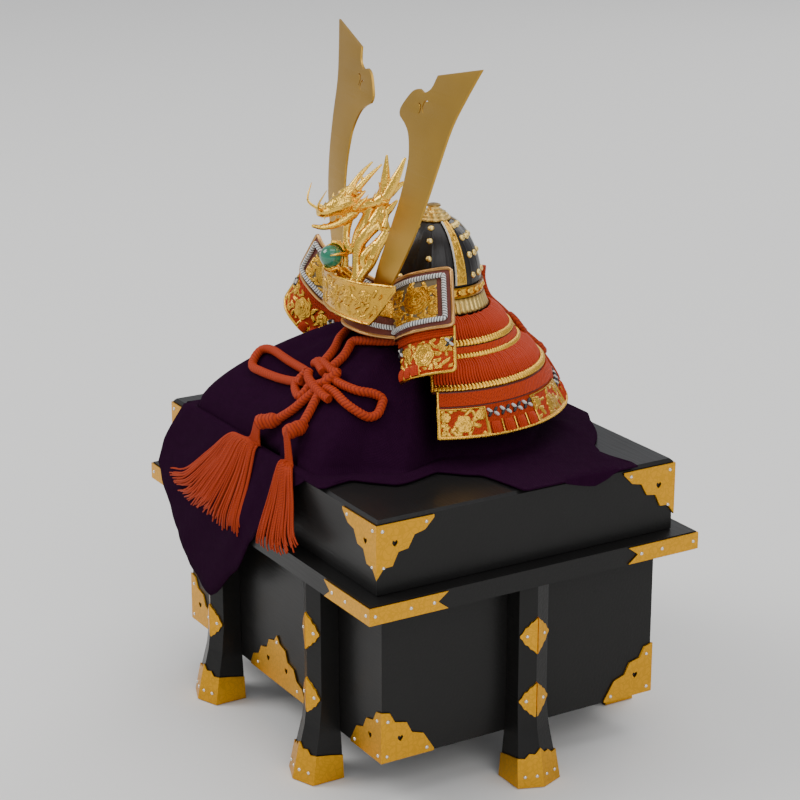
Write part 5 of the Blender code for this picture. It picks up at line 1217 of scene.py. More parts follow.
def make_guard(sizes):
    silk, gold = "orange_lacing", "gilt_plate"
    for row in range(5):
        end = GUARD_ENDS[row]
        shape = Shape()
        guard_shell(shape, row, end, 360 - end, -0.0016, -0.0002, 0)
        if row in (1, 3):
            guard_shell(shape, row, end + 0.5, 359.5 - end, -0.0004, 0.0011, 1, 0.40 if row == 1 else 0.10,
                        0.76 if row == 1 else 0.92)
        for edge in (end, 360 - end):
            line = [guard_place(row, edge, s/8, 0.0002) for s in range(9)]
            tube(shape, line, 0.0009, 8, 2)
        keep(shape.make("guard_row_%d" % (row + 1), ["knit_lacing" if row == 4 else "red_leather",
                                                     "knit_lacing", "relief_gold"]),
             silk, "guard_lame_%d" % (row + 1))
    for row, share, span, pitch, name in (
            (0, 0.5, 1.04, sizes.lace, "top"), (2, 0.40, 0.80, sizes.lace*1.06, "middle")):
        (z0, r0), (z1, r1) = GUARD_PROFILE[row], GUARD_PROFILE[row + 1]
        length = math.hypot(z0 - z1, r1 - r0)*span
        places = arc_places(row, share, 0.0002, pitch, GUARD_ENDS[row] + 1, 359 - GUARD_ENDS[row])
        made = repeated("lacing_" + name, lace_pattern(length, pitch*0.98), places, "lacing_silk",
                        spread=0.05, seed=13 + row, smooth=80)
        keep(made, silk)
    for row, share, size, name in (
            (1, 0.16, 1.0, "first"), (1, 0.90, 0.72, "second"), (2, 0.90, 1.0, "third")):
        places = arc_places(row, share, 0.0007, sizes.scale*(0.9 if size < 1 else 1.0),
                            GUARD_ENDS[row] + 0.5, 359.5 - GUARD_ENDS[row], 9)
        made = repeated("scale_heads_" + name, scale_pattern(sizes.scale*0.95, sizes.scale*1.75*size),
                        places, "relief_gold",
                        spread=0.06, seed=17 + row)
        keep(made, gold)
    make_bottom_row()


PLATE_SPANS = ((62.5, 84.0), (110.0, 138.0), (166.0, 194.0), (222.0, 250.0), (276.0, 297.5))
OPEN_SPANS = ((84.0, 110.0), (138.0, 166.0), (194.0, 222.0), (250.0, 276.0))


def make_bottom_row():
    """The lowest row: peony plates, knots and tufts parted by pins, and a beaded rim."""
    shape = Shape()
    for n, (start, end) in enumerate(PLATE_SPANS):
        width = math.radians(end - start)*0.0742
        columns, rows = 80, 50
        heights = relief(
            width, 0.0172, columns, rows,
            [(width*0.50, 0.0095, 0.0052), (width*0.14, 0.0050, 0.0030), (width*0.86, 0.0052, 0.0030)],
            31 + n, leaves=34, border=0.0011)*0.0011

        def place(u, v, lift, start=start, end=end):
            return guard_place(4, end + (start - end)*u, 0.03 + 0.94*v, lift)
        sheet(shape, place, columns, rows, 0.0, 0.0004, 0, heights, (1, 0.00014))
    keep(shape.make("guard_peony_plates", ["relief_gold", "knit_lacing"]), "gilt_plate")
    rim = Shape()
    line = [guard_place(4, 62.5 + 235*i/220, 0.985, 0.0004) for i in range(221)]
    tube(rim, line, 0.0009, 8)
    keep(rim.make("guard_rim", ["relief_gold"]), "gilt_plate")
    beads = arc_places(4, 0.985, 0.0008, 0.0021, 63, 297)
    keep(repeated("guard_rim_beads", dome_pattern(0.0009, 0.0008, 8, 3), beads, "relief_gold", seed=21),
         "gilt_plate")
    tufts, pins, whites, blacks = [], [], [], []
    for start, end in OPEN_SPANS:
        for i in range(4):
            middle = start + (end - start)*(i + 0.5)/4
            tufts.append(guard_frame(4, middle, 0.76, 0.0003))
            whites.append(guard_frame(4, middle - 1.5, 0.20, 0.0006))
            whites.append(guard_frame(4, middle + 1.5, 0.32, 0.0006))
            blacks.append(guard_frame(4, middle + 1.5, 0.20, 0.0006))
            blacks.append(guard_frame(4, middle - 1.5, 0.32, 0.0006))
        for i in range(5):
            pins.append(guard_frame(4, start + (end - start)*i/4, 0.74, 0.0006))
    keep(repeated("guard_tufts", tuft_pattern(0.0062, 0.0068), tufts, "lacing_silk", spread=0.04, seed=23,
                  smooth=80), "orange_lacing")
    keep(repeated("guard_pins", rod_pattern(0.0075, 0.0005), pins, "relief_gold", seed=25), "gilt_plate")
    keep(repeated("knots_white", rod_pattern(0.0034, 0.0009), [turn_place(p, 45) for p in whites],
                  "knot_white", seed=27), "orange_lacing")
    keep(repeated("knots_black", rod_pattern(0.0034, 0.0009), [turn_place(p, -45) for p in blacks],
                  "knot_black", seed=29), "orange_lacing")


def turn_place(place, degrees):
    spot, outward, along = place
    return spot, outward, Matrix.Rotation(math.radians(degrees), 3, outward) @ along


def tuft_pattern(width, height):
    """A swelling bundle of short upright cords."""
    shape = Shape()
    for i in range(6):
        x = (i - 2.5)/6*width
        bulge = 0.0011*(1 - ((i - 2.5)/3.2)**2)
        line = [Vector((x*(0.72 + 0.28*math.sin(math.pi*s/6)), -height*(s/6 - 0.5),
                        bulge*math.sin(math.pi*(0.12 + 0.8*s/6)))) for s in range(7)]
        tube(shape, line, width/10, 6)
    return shape.make("pattern_tuft", ["lacing_silk"])


def rod_pattern(length, radius):
    shape = Shape()
    line = [Vector((0, -length/2 + length*i/6, 0)) for i in range(7)]
    tube(shape, line, lambda s: radius*(0.6 + 0.4*math.sin(math.pi*s)**0.5), 7)
    return shape.make("pattern_rod", ["relief_gold"])


# Visor and wings

def visor_place(azimuth, share, lift):
    turn = math.radians(azimuth)
    near = abs(azimuth)/50.0
    reach = 0.053 - (0.053 - 0.0395)*near**2.6
    flat = min(reach, 0.053/max(0.75, math.cos(turn)))
    out = Vector((math.sin(turn), -math.cos(turn), 0))
    top = AXIS + out*(0.0285 + 0.0012) + Vector((0, 0, RING_FOOT - 0.0003))
    rim = AXIS + out*flat + Vector((0, 0, RING_FOOT - 0.0165 - 0.0012*near))
    slope = (rim - top).normalized()
    normal = Vector((-slope.z*out.x, -slope.z*out.y, math.hypot(slope.x, slope.y)))
    return top.lerp(rim, share) + normal*lift


def make_visor():
    shape = Shape()
    sheet(shape, lambda u, v, lift: visor_place(-50 + 100*u, v, lift), 80, 16, 0.0, 0.0014, 0)
    rim = smooth_line([visor_place(-50 + 100*i/40, 1.0, 0.0007) for i in range(41)], 0.0012)
    tube(shape, rim, 0.00105, 10, 1)
    heights = relief(0.055, 0.010, 120, 30, [(0.012 + 0.0104*i, 0.005, 0.0034) for i in range(4)], 41,
                     leaves=46)*0.0007
    sheet(shape, lambda u, v, lift: visor_place(-44 + 88*u, 0.12 + 0.42*v, lift), 120, 30, 0.0012, 0.0016,
          2, heights)
    keep(shape.make("visor_dressed", ["red_leather", "copper_gold", "relief_gold"]), "red_brown_leather",
         "visor")
    braid = Shape()
    line = smooth_line([visor_place(-49 + 98*i/40, 0.78, 0.0016) for i in range(41)], 0.0005)
    tube(braid, line, 0.0014, 12, relief=plait_relief(0.0012, 2, 1.55, 0.75))
    keep(braid.make("visor_braid", ["chequered_braid"]), "red_brown_leather")


NEAR_START = ((0.0380, 0.0262, -0.0020), (0.0352, 0.0345, -0.0010), (0.0300, 0.0430, 0.0))
FAR_START = ((0.0432, 0.0310, -0.0062), (0.0431, 0.0330, -0.0055), (0.0430, 0.0350, -0.0050))
NEAR_WING = (
    (33, -8), (29, 2), (27, 7), (27, 12), (23, 29), (16, 46), (15, 45), (14, 44), (12, 45), (9, 55), (7, 57)
)
FAR_WING = (
    (22, -18), (22, -20), (22, -22), (20, -26), (28, -30), (38, -30), (42, -28), (42, -24), (37, -8),
    (35, 4), (42, 21), (32, 27))
NEAR_RISE = ((-0.59, 0.322, 0.741), (-0.59, 0.322, 0.741))
FAR_RISE = ((0.18, 0.57, 0.59), (0.25, 0.195, 0.585))
WING_HEIGHT, LOWER_HEIGHT, WING_STEP = 0.035, 0.026, 0.0037


class Wing:
    """The curved face of one turned-back wing."""

    def __init__(self, side, start, steps, rise):
        self.side = side
        edge = [Vector((side*a, BOWL_BACK - b, BAND_FOOT - 0.0080 + c)) for a, b, c in start]
        place = edge[-1]
        for up, back in steps:
            up, back = math.radians(up), math.radians(back)
            place = place + Vector((side*math.cos(up)*math.cos(back), math.cos(up)*math.sin(back),
                                    math.sin(up)))*WING_STEP
            edge.append(place)
        self.edge = edge[2:]
        self.first = 2/(len(edge) - 1)
        self.line = smooth_line(self.edge, 0.0005)
        self.rise = (Vector(rise[0]), Vector(rise[1]))
        self.length = line_length(self.line)

    def bottom(self, u):
        at = u*(len(self.line) - 1)
        low = min(int(at), len(self.line) - 2)
        return self.line[low].lerp(self.line[low + 1],
                                   at - low), (self.line[low + 1] - self.line[low]).normalized()

    def up(self, u):
        return self.rise[0].lerp(self.rise[1], self.first + (1 - self.first)*u)

    def face(self, u):
        _, along = self.bottom(u)
        return along.cross(self.up(u)).normalized()*self.side

    def upper(self, u, v, lift):
        corner = max(0.0, (u - 0.93)/0.07)
        v = 0.5 + (v - 0.5)*(1 - 0.11*corner**2)
        place, _ = self.bottom(u)
        return place + self.up(u)*(WING_HEIGHT*v) + self.face(u)*lift

    def lower(self, u, v, lift):
        place, _ = self.bottom(u)
        face = self.face(u)
        high = place - face*0.0028 + self.up(u)*0.0015
        return high + Vector((self.side*0.50, -0.27, -0.82))*(LOWER_HEIGHT*v) + face*lift


def border_line(place, inset_u, inset_v, lift, corner=0.04):
    """A line round the top, outer and bottom sides of a wing's face, with rounded corners."""
    inner = 1 - inset_u - corner
    near = corner*0.25
    across = [inner*i/12 for i in range(13)]
    points = [place(u, 1 - inset_v, lift) for u in across]
    points.append(place(1 - inset_u - near, 1 - inset_v - near, lift))
    points += [place(1 - inset_u, v, lift) for v in (1 - inset_v - corner, 0.5, inset_v + corner)]
    points.append(place(1 - inset_u - near, inset_v + near, lift))
    points += [place(u, inset_v, lift) for u in reversed(across)]
    return points


def make_wing(name, wing):
    flip = wing.side < 0

    def turned_face(place):
        return (lambda u, v, lift: place(1 - u, v, lift)) if flip else place
    shape = Shape()
    sheet(shape, turned_face(wing.upper), 60, 40, -0.0014, 0.0, 0)
    tube(shape, smooth_line(border_line(wing.upper, 0.0, 0.0, -0.0002), 0.0009), 0.0011, 10, 1)
    columns, rows = 120, 96
    width, height = wing.length*0.78, WING_HEIGHT*0.66
    heights = relief(
        width, height, columns, rows,
        [
            (width*0.62, height*0.52, 0.0078), (width*0.18, height*0.30, 0.0042),
            (width*0.22, height*0.78, 0.0040), (width*0.93, height*0.2, 0.0035)], 51, leaves=70)*0.0013
    heights = heights[:, ::-1] if flip else heights
    sheet(shape, turned_face(lambda u, v, lift: wing.upper(0.0 + 0.80*u, 0.17 + 0.66*v, lift)), columns,
          rows, -0.0004, 0.0003, 2,
          heights, (3, 0.00012))
    keep(shape.make("wing_upper_dressed_" + name, ["red_leather", "copper_gold", "relief_gold",
                                                   "panel_ground"]), "gilt_plate", "wing_upper_" + name)
    braid = Shape()
    tube(braid, smooth_line(border_line(wing.upper, 0.105, 0.125, 0.0009), 0.0005), 0.00135, 12,
         relief=plait_relief(0.0012, 2, 1.55, 0.75))
    keep(braid.make("wing_braid_" + name, ["chequered_braid"]), "gilt_plate")

    shape = Shape()
    sheet(shape, turned_face(lambda u, v, lift: wing.lower(u, 1 - v, lift)), 60, 30, -0.0013, 0.0, 0)
    for i in range(3):
        line = [wing.lower(0.01 + 0.98*k/50, 0.10 + 0.055*i, 0.0006) for k in range(51)]
        tube(shape, line, 0.00085, 8, 0)
    width, height = wing.length*0.92, LOWER_HEIGHT*0.62
    heights = relief(
        width, height, 130, 80,
        [
            (width*0.55, height*0.52, 0.0064), (width*0.22, height*0.7, 0.0036),
            (width*0.86, height*0.74, 0.0034)], 61, leaves=48)*0.0013
    heights = heights[:, ::-1] if flip else heights
    sheet(shape, turned_face(lambda u, v, lift: wing.lower(0.05 + 0.92*u, 0.92 - 0.66*v, lift)), 130, 80,
          -0.0004, 0.0003, 1, heights, (0, 0.00016))
    rim = [wing.lower(1.0, 0.02 + 0.90*i/10, 0.0) for i in range(11)] + [wing.lower(0.985, 0.975, 0.0)]
    rim += [wing.lower(0.95 - 0.95*i/24, 1.0, 0.0) for i in range(25)]
    tube(shape, smooth_line(rim, 0.0009), 0.00095, 10, 1)
    keep(shape.make("wing_lower_dressed_" + name, ["knit_lacing", "relief_gold"]), "orange_lacing",
         "wing_lower_" + name)
    places, pins, whites, blacks = [], [], [], []
    for i in range(3):
        for target, u, v in ((places, 0.09 + 0.16*i, 0.88), (pins, 0.17 + 0.16*i, 0.88)):
            spot = wing.lower(u, v, 0.0008)
            target.append((spot, wing.face(u), wing.bottom(u)[1]*wing.side))
    for u in (0.10, 0.93):
        for du, dv, target in (
                (-0.02, 0.0, whites), (0.03, 0.0, blacks), (-0.02, 0.09, blacks), (0.03, 0.09, whites)):
            spot = wing.lower(u + du, 0.34 + dv, 0.0014)
            target.append((spot, wing.face(u), wing.bottom(u)[1]*wing.side))
    keep(repeated("wing_tufts_" + name, tuft_pattern(0.0056, 0.0056), places, "lacing_silk", seed=33,
                  smooth=80), "orange_lacing")
    keep(repeated("wing_pins_" + name, rod_pattern(0.0064, 0.0005), pins, "relief_gold", seed=35),
         "gilt_plate")
    keep(repeated("wing_knots_white_" + name, rod_pattern(0.003, 0.0008),
                  [turn_place(p, 45) for p in whites], "knot_white", seed=37), "orange_lacing")
    keep(repeated("wing_knots_black_" + name, rod_pattern(0.003, 0.0008),
                  [turn_place(p, -45) for p in blacks], "knot_black", seed=39), "orange_lacing")


def make_wings():
    make_wing("right", Wing(1, NEAR_START, NEAR_WING, NEAR_RISE))
    make_wing("left", Wing(-1, FAR_START, FAR_WING, FAR_RISE))


# Crest

def crest_place(side, forward, z):
    return Vector((side*math.cos(CREST_TURN) + forward*math.sin(CREST_TURN),
                   side*math.sin(CREST_TURN) - forward*math.cos(CREST_TURN), z))


PLATE_EDGE = (
    (0.0, 0.107, 0.90), (0.35, 0.099, 0.92), (0.60, 0.092, 0.935), (0.70, 0.099, 0.954),
    (0.78, 0.267, 0.973), (0.88, 0.534, 0.985), (0.96, 0.782, 0.992), (1.0, 0.897, 1.0))
HORN_OUTER = ((0.0, 0.377), (0.08, 0.439), (0.174, 0.529), (0.307, 0.632), (0.46, 0.711), (0.61, 0.765),
              (0.76, 0.815), (0.88, 0.899), (1.0, 1.0))
HORN_TOP = ((0.93, 0.543), (0.875, 0.502), (0.850, 0.430), (0.858, 0.365), (0.835, 0.284), (0.765, 0.198),
            (0.735, 0.210))
HORN_INNER = ((0.715, 0.282), (0.685, 0.345), (0.63, 0.395), (0.565, 0.418), (0.43, 0.402), (0.27, 0.334),
              (0.127, 0.254), (0.05, 0.224), (0.0, 0.209))
HORN_CURLS = ((0.485, 0.800, 0.034, 60, 250), (0.400, 0.785, 0.030, 300, 470))


def plate_at(side, share, lift):
    """A place on the mount plate: share runs from its low edge to its high one."""
    near = min(1.0, abs(side))
    for low, high in zip(PLATE_EDGE, PLATE_EDGE[1:]):
        if near <= high[0]:
            t = (near - low[0])/(high[0] - low[0])
            foot, top = low[1] + (high[1] - low[1])*t, low[2] + (high[2] - low[2])*t
            break
    s = side*PLATE_HALF
    forward = PLATE_FORWARD - PLATE_CURVE*side**2
    lean = Vector((2*PLATE_CURVE*side/PLATE_HALF, 1.0)).normalized()
    z = BAND_FOOT + (foot + (top - foot)*share)*PLATE_RISE
    return crest_place(s + lean.x*lift, forward + lean.y*lift, z)


def make_crest_plate():
    shape = Shape()
    sheet(shape, lambda u, v, lift: plate_at(2*u - 1, v, lift), 80, 20, -0.0012, 0.0, 0)
    outline = [
        plate_at(-1 + 2*i/60, 0.0, 0.0003) for i in range(61)
    ] + [plate_at(1 - 2*i/60, 1.0, 0.0003) for i in range(61)]
    tube(shape, outline, 0.0008, 8, 0, closed=True)
    width, height = 1.7*PLATE_HALF, 0.8*PLATE_RISE*0.8
    heights = relief(
        width, height, 220, 60,
        [
            (width*0.5, height*0.45, 0.0058), (width*0.30, height*0.55, 0.0042),
            (width*0.70, height*0.55, 0.0042), (width*0.14, height*0.72, 0.0032),
            (width*0.86, height*0.72, 0.0032)], 71, leaves=80)*0.0015
    sheet(shape, lambda u, v, lift: plate_at(-0.85 + 1.7*u, 0.10 + 0.80*v, lift), 220, 60, -0.0006, 0.0001,
          0, heights)
    keep(shape.make("crest_plate_cast", ["relief_gold"]), "brown_gold", "crest_plate")


def horn_forward(side, z):
    share = z - BOWL_FOOT
    return 0.0168 - 0.2406*(share - 0.1007) - 0.83*max(0.0, 0.0895 - share)**2 - 0.0489*(abs(side) - 0.018)


def make_horn(name, sign):
    """A flat horn cut from plate, with two pierced curls and a bright bevelled edge."""
    foot = BOWL_FOOT - 0.0003
    runs = [smooth_line([Vector((s*HORN_SPREAD, h*HORN_HEIGHT, 0)) for h, s in run],
                        0.0022) for run in (HORN_OUTER, HORN_TOP, HORN_INNER)]
    top = smooth_line([runs[0][-1]] + [Vector((s*HORN_SPREAD, h*HORN_HEIGHT, 0)) for h, s in HORN_TOP[:1]],
                      0.0022)
    outline = runs[0] + top[1:-1] + runs[1] + runs[2]
    curve = bpy.data.curves.new("horn_outline", "CURVE")
    curve.dimensions = "2D"
    curve.fill_mode = "BOTH"
    loops = [outline]
    for side, rise, radius, start, end in HORN_CURLS:
        outer, inner = [], []
        for i in range(15):
            turn = math.radians(start + (end - start)*i/14)
            fat = 0.0013*(0.25 + 0.75*math.sin(math.pi*(i + 0.5)/15))/2
            spot = Vector((side*HORN_SPREAD, rise*HORN_HEIGHT, 0))
            ray = Vector((math.cos(turn), math.sin(turn), 0))
            outer.append(spot + ray*(radius*HORN_SPREAD + fat))
            inner.append(spot + ray*(radius*HORN_SPREAD - fat))
        loops.append(outer + inner[::-1])
    for loop in loops:
        spline = curve.splines.new("POLY")
        spline.points.add(len(loop) - 1)
        for point, spot in zip(spline.points, loop):
            point.co = (spot.x, spot.y, 0, 1)
        spline.use_cyclic_u = True
    curve.extrude = 0.00055
    curve.bevel_depth = 0.0001
    carrier = bpy.data.objects.new("horn_outline", curve)
    bpy.context.collection.objects.link(carrier)
    graph = bpy.context.evaluated_depsgraph_get()
    mesh = bpy.data.meshes.new_from_object(carrier.evaluated_get(graph), depsgraph=graph)
    bpy.data.objects.remove(carrier, do_unlink=True)
    work = bmesh.new()
    work.from_mesh(mesh)
    bmesh.ops.remove_doubles(work, verts=work.verts, dist=1e-6)
    for i in range(1, 22):
        geom = list(work.verts) + list(work.edges) + list(work.faces)
        bmesh.ops.bisect_plane(work, geom=geom, plane_co=(0, HORN_HEIGHT*i/22, 0), plane_no=(0, 1, 0))
    for vertex in work.verts:
        s, rise, deep = vertex.co
        z = foot + rise
        vertex.co = crest_place(sign*s, horn_forward(s, z) - 0.00065 + deep, z)
    bmesh.ops.recalc_face_normals(work, faces=work.faces)
    for face in work.faces:
        flat = abs(face.normal.dot(crest_place(0, 1, 0).normalized()))
        face.material_index = 0 if flat > 0.75 else 1
        face.smooth = True
    mesh.clear_geometry()
    work.to_mesh(mesh)
    work.free()
    mesh.materials.clear()
    mesh.materials.append(bpy.data.materials["brushed_gold"])
    mesh.materials.append(bpy.data.materials["bright_edge"])
    mesh.set_sharp_from_angle(angle=math.radians(30))
    made = bpy.data.objects.new("horn_blade_" + name, mesh)
    bpy.context.collection.objects.link(made)
    keep(made, "brown_gold", "horn_" + name)


DRAGON = (
    (
        (0.0, 0.113, 0.596, 0.031), (0.0, 0.051, 0.589, 0.040), (0.0, -0.036, 0.620, 0.060),
        (0.0, -0.123, 0.641, 0.066), (0.013, -0.196, 0.608, 0.048), (0.053, -0.28, 0.627, 0.035),
        (0.107, -0.327, 0.647, 0.034), (0.16, -0.341, 0.656, 0.032)),
    ((0.0, -0.06, 0.707, 0.021), (0.0, -0.139, 0.729, 0.029), (0.0, -0.195, 0.709, 0.024)),
    (
        (0.0, 0.161, 0.492, 0.010), (0.0, 0.084, 0.473, 0.018), (0.0, -0.003, 0.480, 0.024),
        (0.0, -0.099, 0.516, 0.034), (0.0, -0.169, 0.563, 0.040)),
    ((-0.04, -0.156, 0.728, 0.021), (-0.053, -0.257, 0.836, 0.016), (-0.067, -0.351, 0.911, 0.006)),
    ((0.04, -0.177, 0.735, 0.021), (0.053, -0.268, 0.827, 0.016), (0.067, -0.369, 0.917, 0.006)),
    ((0.027, -0.144, 0.637, 0.024), (0.04, -0.249, 0.724, 0.007)),
    ((0.04, -0.153, 0.595, 0.024), (0.067, -0.241, 0.675, 0.007)),
    ((0.027, -0.175, 0.560, 0.022), (0.04, -0.233, 0.632, 0.007)),
    (
        (0.053, -0.319, 0.639, 0.034), (0.053, -0.243, 0.503, 0.036), (0.08, -0.176, 0.409, 0.036),
        (0.107, -0.136, 0.321, 0.030)),
    (
        (0.16, -0.349, 0.551, 0.034), (0.16, -0.273, 0.489, 0.040), (0.16, -0.197, 0.425, 0.040),
        (0.147, -0.148, 0.339, 0.034), (0.16, -0.127, 0.227, 0.030), (0.187, -0.11, 0.14, 0.028),
        (0.187, -0.062, 0.05, 0.026)),
    (
        (0.24, -0.331, 0.449, 0.028), (0.24, -0.259, 0.349, 0.034), (0.24, -0.201, 0.229, 0.032),
        (0.24, -0.14, 0.15, 0.028), (0.24, -0.085, 0.06, 0.024)),
    ((0.227, -0.253, 0.372, 0.024), (0.227, -0.152, 0.277, 0.024), (0.24, -0.164, 0.173, 0.020)),
    (
        (0.0, -0.139, 0.543, 0.029), (0.0, -0.113, 0.417, 0.024), (0.053, -0.099, 0.325, 0.022),
        (0.107, -0.14, 0.303, 0.024)),
    ((0.16, -0.341, 0.656, 0.034), (0.16, -0.357, 0.817, 0.030), (0.16, -0.367, 1.005, 0.007)),
    ((0.213, -0.333, 0.697, 0.032), (0.227, -0.415, 0.848, 0.028), (0.24, -0.480, 0.989, 0.008)),
    ((0.16, -0.283, 0.653, 0.032), (0.20, -0.379, 0.735, 0.032), (0.24, -0.473, 0.812, 0.008)),
    ((0.187, -0.321, 0.559, 0.028), (0.227, -0.368, 0.623, 0.022), (0.267, -0.405, 0.687, 0.008)),
    ((0.16, -0.341, 0.656, 0.034), (0.213, -0.333, 0.697, 0.032)),
    ((0.16, -0.341, 0.656, 0.032), (0.16, -0.309, 0.584, 0.034), (0.16, -0.245, 0.50, 0.034)),
    ((0.16, -0.349, 0.551, 0.034), (0.187, -0.321, 0.559, 0.028), (0.24, -0.331, 0.449, 0.028)),
    (
        (0.0, -0.06, 0.03, 0.028), (0.0, -0.09, 0.12, 0.026), (0.0, -0.10, 0.25, 0.020),
        (0.0, -0.055, 0.335, 0.018), (0.0, 0.01, 0.357, 0.012)),
    (
        (0.0, -0.07, 0.10, 0.024), (0.0, -0.035, 0.150, 0.020), (0.0, 0.03, 0.148, 0.016),
        (0.0, 0.075, 0.175, 0.010)),
    ((0.0, -0.09, 0.14, 0.022), (0.08, -0.10, 0.12, 0.022), (0.187, -0.11, 0.10, 0.026)),
    ((0.0, -0.10, 0.25, 0.018), (0.05, -0.105, 0.28, 0.018), (0.107, -0.14, 0.303, 0.022)))


def dragon_spot(side, ahead, rise):
    return crest_place(side*DRAGON_SIZE, PLATE_FORWARD + ahead*DRAGON_SIZE, BOWL_FOOT + rise*DRAGON_SIZE)


def make_dragon():
    """The cast dragon: tapered strokes with flames, teeth, whiskers and back spines, fused in one skin."""
    shape = Shape()
    rng = random.Random(4)
    for rows in DRAGON:
        line = smooth_line([dragon_spot(*row[:3]) for row in rows], 0.0006)
        radii = [row[3]*DRAGON_SIZE*DRAGON_FULL for row in rows]

        def radius(share, radii=radii):
            at = share*(len(radii) - 1)
            low = min(int(at), len(radii) - 2)
            return radii[low] + (radii[low + 1] - radii[low])*(at - low)
        tube(shape, line, radius, 14)
        if len(rows) > 3:
            for i in range(6, len(line) - 6, 5):
                out = Vector((rng.uniform(-0.5, 0.5), 0.2, rng.uniform(0.3, 1.0))).normalized()
                size = radius(i/(len(line) - 1))
                spine = [
                    line[i], line[i] + out*size*1.2, line[i] + out*size*1.9 + Vector((0, 0.0009, 0.0004))]
                tube(shape, smooth_line(spine, 0.0006), lambda s, size=size: size*(0.42 - 0.38*s), 8)
    for side in (-1, 1):
        eye = dragon_spot(0.052*side, -0.085, 0.668)
        tube(shape, smooth_line([eye + Vector((0, -0.0008, 0)), eye, eye + Vector((0, 0.0008, 0))],
                                0.0004), 0.0014, 10)
        nostril = dragon_spot(0.03*side, 0.082, 0.622)
        tube(shape, smooth_line([nostril, nostril + Vector((0, 0.0012, 0.0007))], 0.0004), 0.0011, 10)
        whisker = [dragon_spot(0.02*side, 0.09, 0.60), dragon_spot(0.10*side, 0.15, 0.66),
                   dragon_spot(0.15*side, 0.10, 0.78)]
        tube(shape, smooth_line(whisker, 0.0006), lambda s: 0.0011*(1 - 0.7*s), 8)
        for i in range(5):
            root = dragon_spot(0.028*side, 0.07 - 0.045*i, 0.556)
            tube(shape, smooth_line([root, root + Vector((0, 0, -0.0024))], 0.0005),
                 lambda s: 0.0006*(1.15 - s), 6)
    for i, (side, ahead, rise) in enumerate(
            (
                (0.10, -0.30, 0.72), (0.02, -0.20, 0.78), (0.20, -0.28, 0.52), (0.26, -0.30, 0.55),
                (0.12, -0.18, 0.30), (0.22, -0.16, 0.25), (0.26, -0.20, 0.32), (0.10, -0.22, 0.50))):
        lean = 0.9 + 0.5*i
        flame = [
            dragon_spot(side, ahead, rise - 0.06),
            dragon_spot(side + 0.03*math.cos(lean), ahead - 0.03, rise + 0.02),
            dragon_spot(side + 0.06*math.cos(lean), ahead - 0.03 + 0.03*math.sin(lean), rise + 0.10)]
        tube(shape, smooth_line(flame, 0.0006), lambda s: 0.0018*(1.05 - s), 10)
    made = shape.make("dragon_cast", ["cast_gold"], 80)
    fuse = made.modifiers.new("fuse", "REMESH")
    fuse.mode = "VOXEL"
    fuse.voxel_size = 0.00038
    fuse.use_smooth_shade = True
    even = made.modifiers.new("even", "SMOOTH")
    even.factor, even.iterations = 0.5, 2
    graph = bpy.context.evaluated_depsgraph_get()
    mesh = bpy.data.meshes.new_from_object(made.evaluated_get(graph), depsgraph=graph)
    made.modifiers.clear()
    made.data = mesh
    mesh.name = "dragon_cast"
    if not mesh.materials:
        mesh.materials.append(bpy.data.materials["cast_gold"])
    mesh.shade_smooth()
    keep(made, "pale_gold", "crest_dragon")
    centre = sum(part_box("crest_ball"), Vector())/2
    ball = Shape()
    profile = [(BALL_RADIUS*math.cos(math.radians(a)),
                centre.z + BALL_RADIUS*math.sin(math.radians(a))) for a in range(-89, 90, 6)]
    turned(ball, profile, Vector((centre.x, centre.y, 0)), 48)
    keep(ball.make("crest_ball_polished", ["green_stone"], 80), "green_glass", "crest_ball")
    claws = Shape()
    for lean in (20, 110, 200, 290):
        turn = math.radians(lean)
        line = []
        for i in range(9):
            a = math.radians(-70 + 105*i/8)
            out = Vector((math.cos(turn), 0.35*math.sin(turn), math.sin(turn)))
            back = Vector((0, 1, 0))
            line.append(centre + (out.normalized()*math.cos(a) - back*math.sin(a))*(BALL_RADIUS + 0.0007))
        tube(claws, smooth_line(line, 0.0008), lambda s: 0.0011*(1.1 - 0.7*s), 10)
    keep(claws.make("ball_claws", ["cast_gold"]), "pale_gold")


def make_sockets():
    """Two slotted sockets that carry the horns' feet, and the post between plate and bowl."""
    shape = Shape()
    foot = BOWL_FOOT - 0.0003
    for sign in (-1, 1):
        s0, s1 = HORN_INNER[-1][1]*HORN_SPREAD, HORN_OUTER[0][1]*HORN_SPREAD
        middle = (s0 + s1)/2
        for lift, deep in ((0.0009, 1), (-0.0021, -1)):
            line = [
                crest_place(
                    sign*(s0 - 0.0006 + (s1 - s0 + 0.0012)*i/6), horn_forward(middle, foot) + lift,
                    foot + 0.0012) for i in range(7)]
            tube(shape, line, 0.0010, 8)
        back = crest_place(sign*middle, horn_forward(middle, foot), foot + 0.0006)
        front = crest_place(sign*middle, PLATE_FORWARD - PLATE_CURVE*(middle/PLATE_HALF)**2 - 0.0006,
                            foot - 0.001)
        tube(shape, smooth_line([back, back.lerp(front, 0.5) + Vector((0, 0, -0.0006)), front], 0.001),
             0.0014, 8)
    keep(shape.make("horn_sockets", ["pale_metal"]), "brown_gold")


# Stage

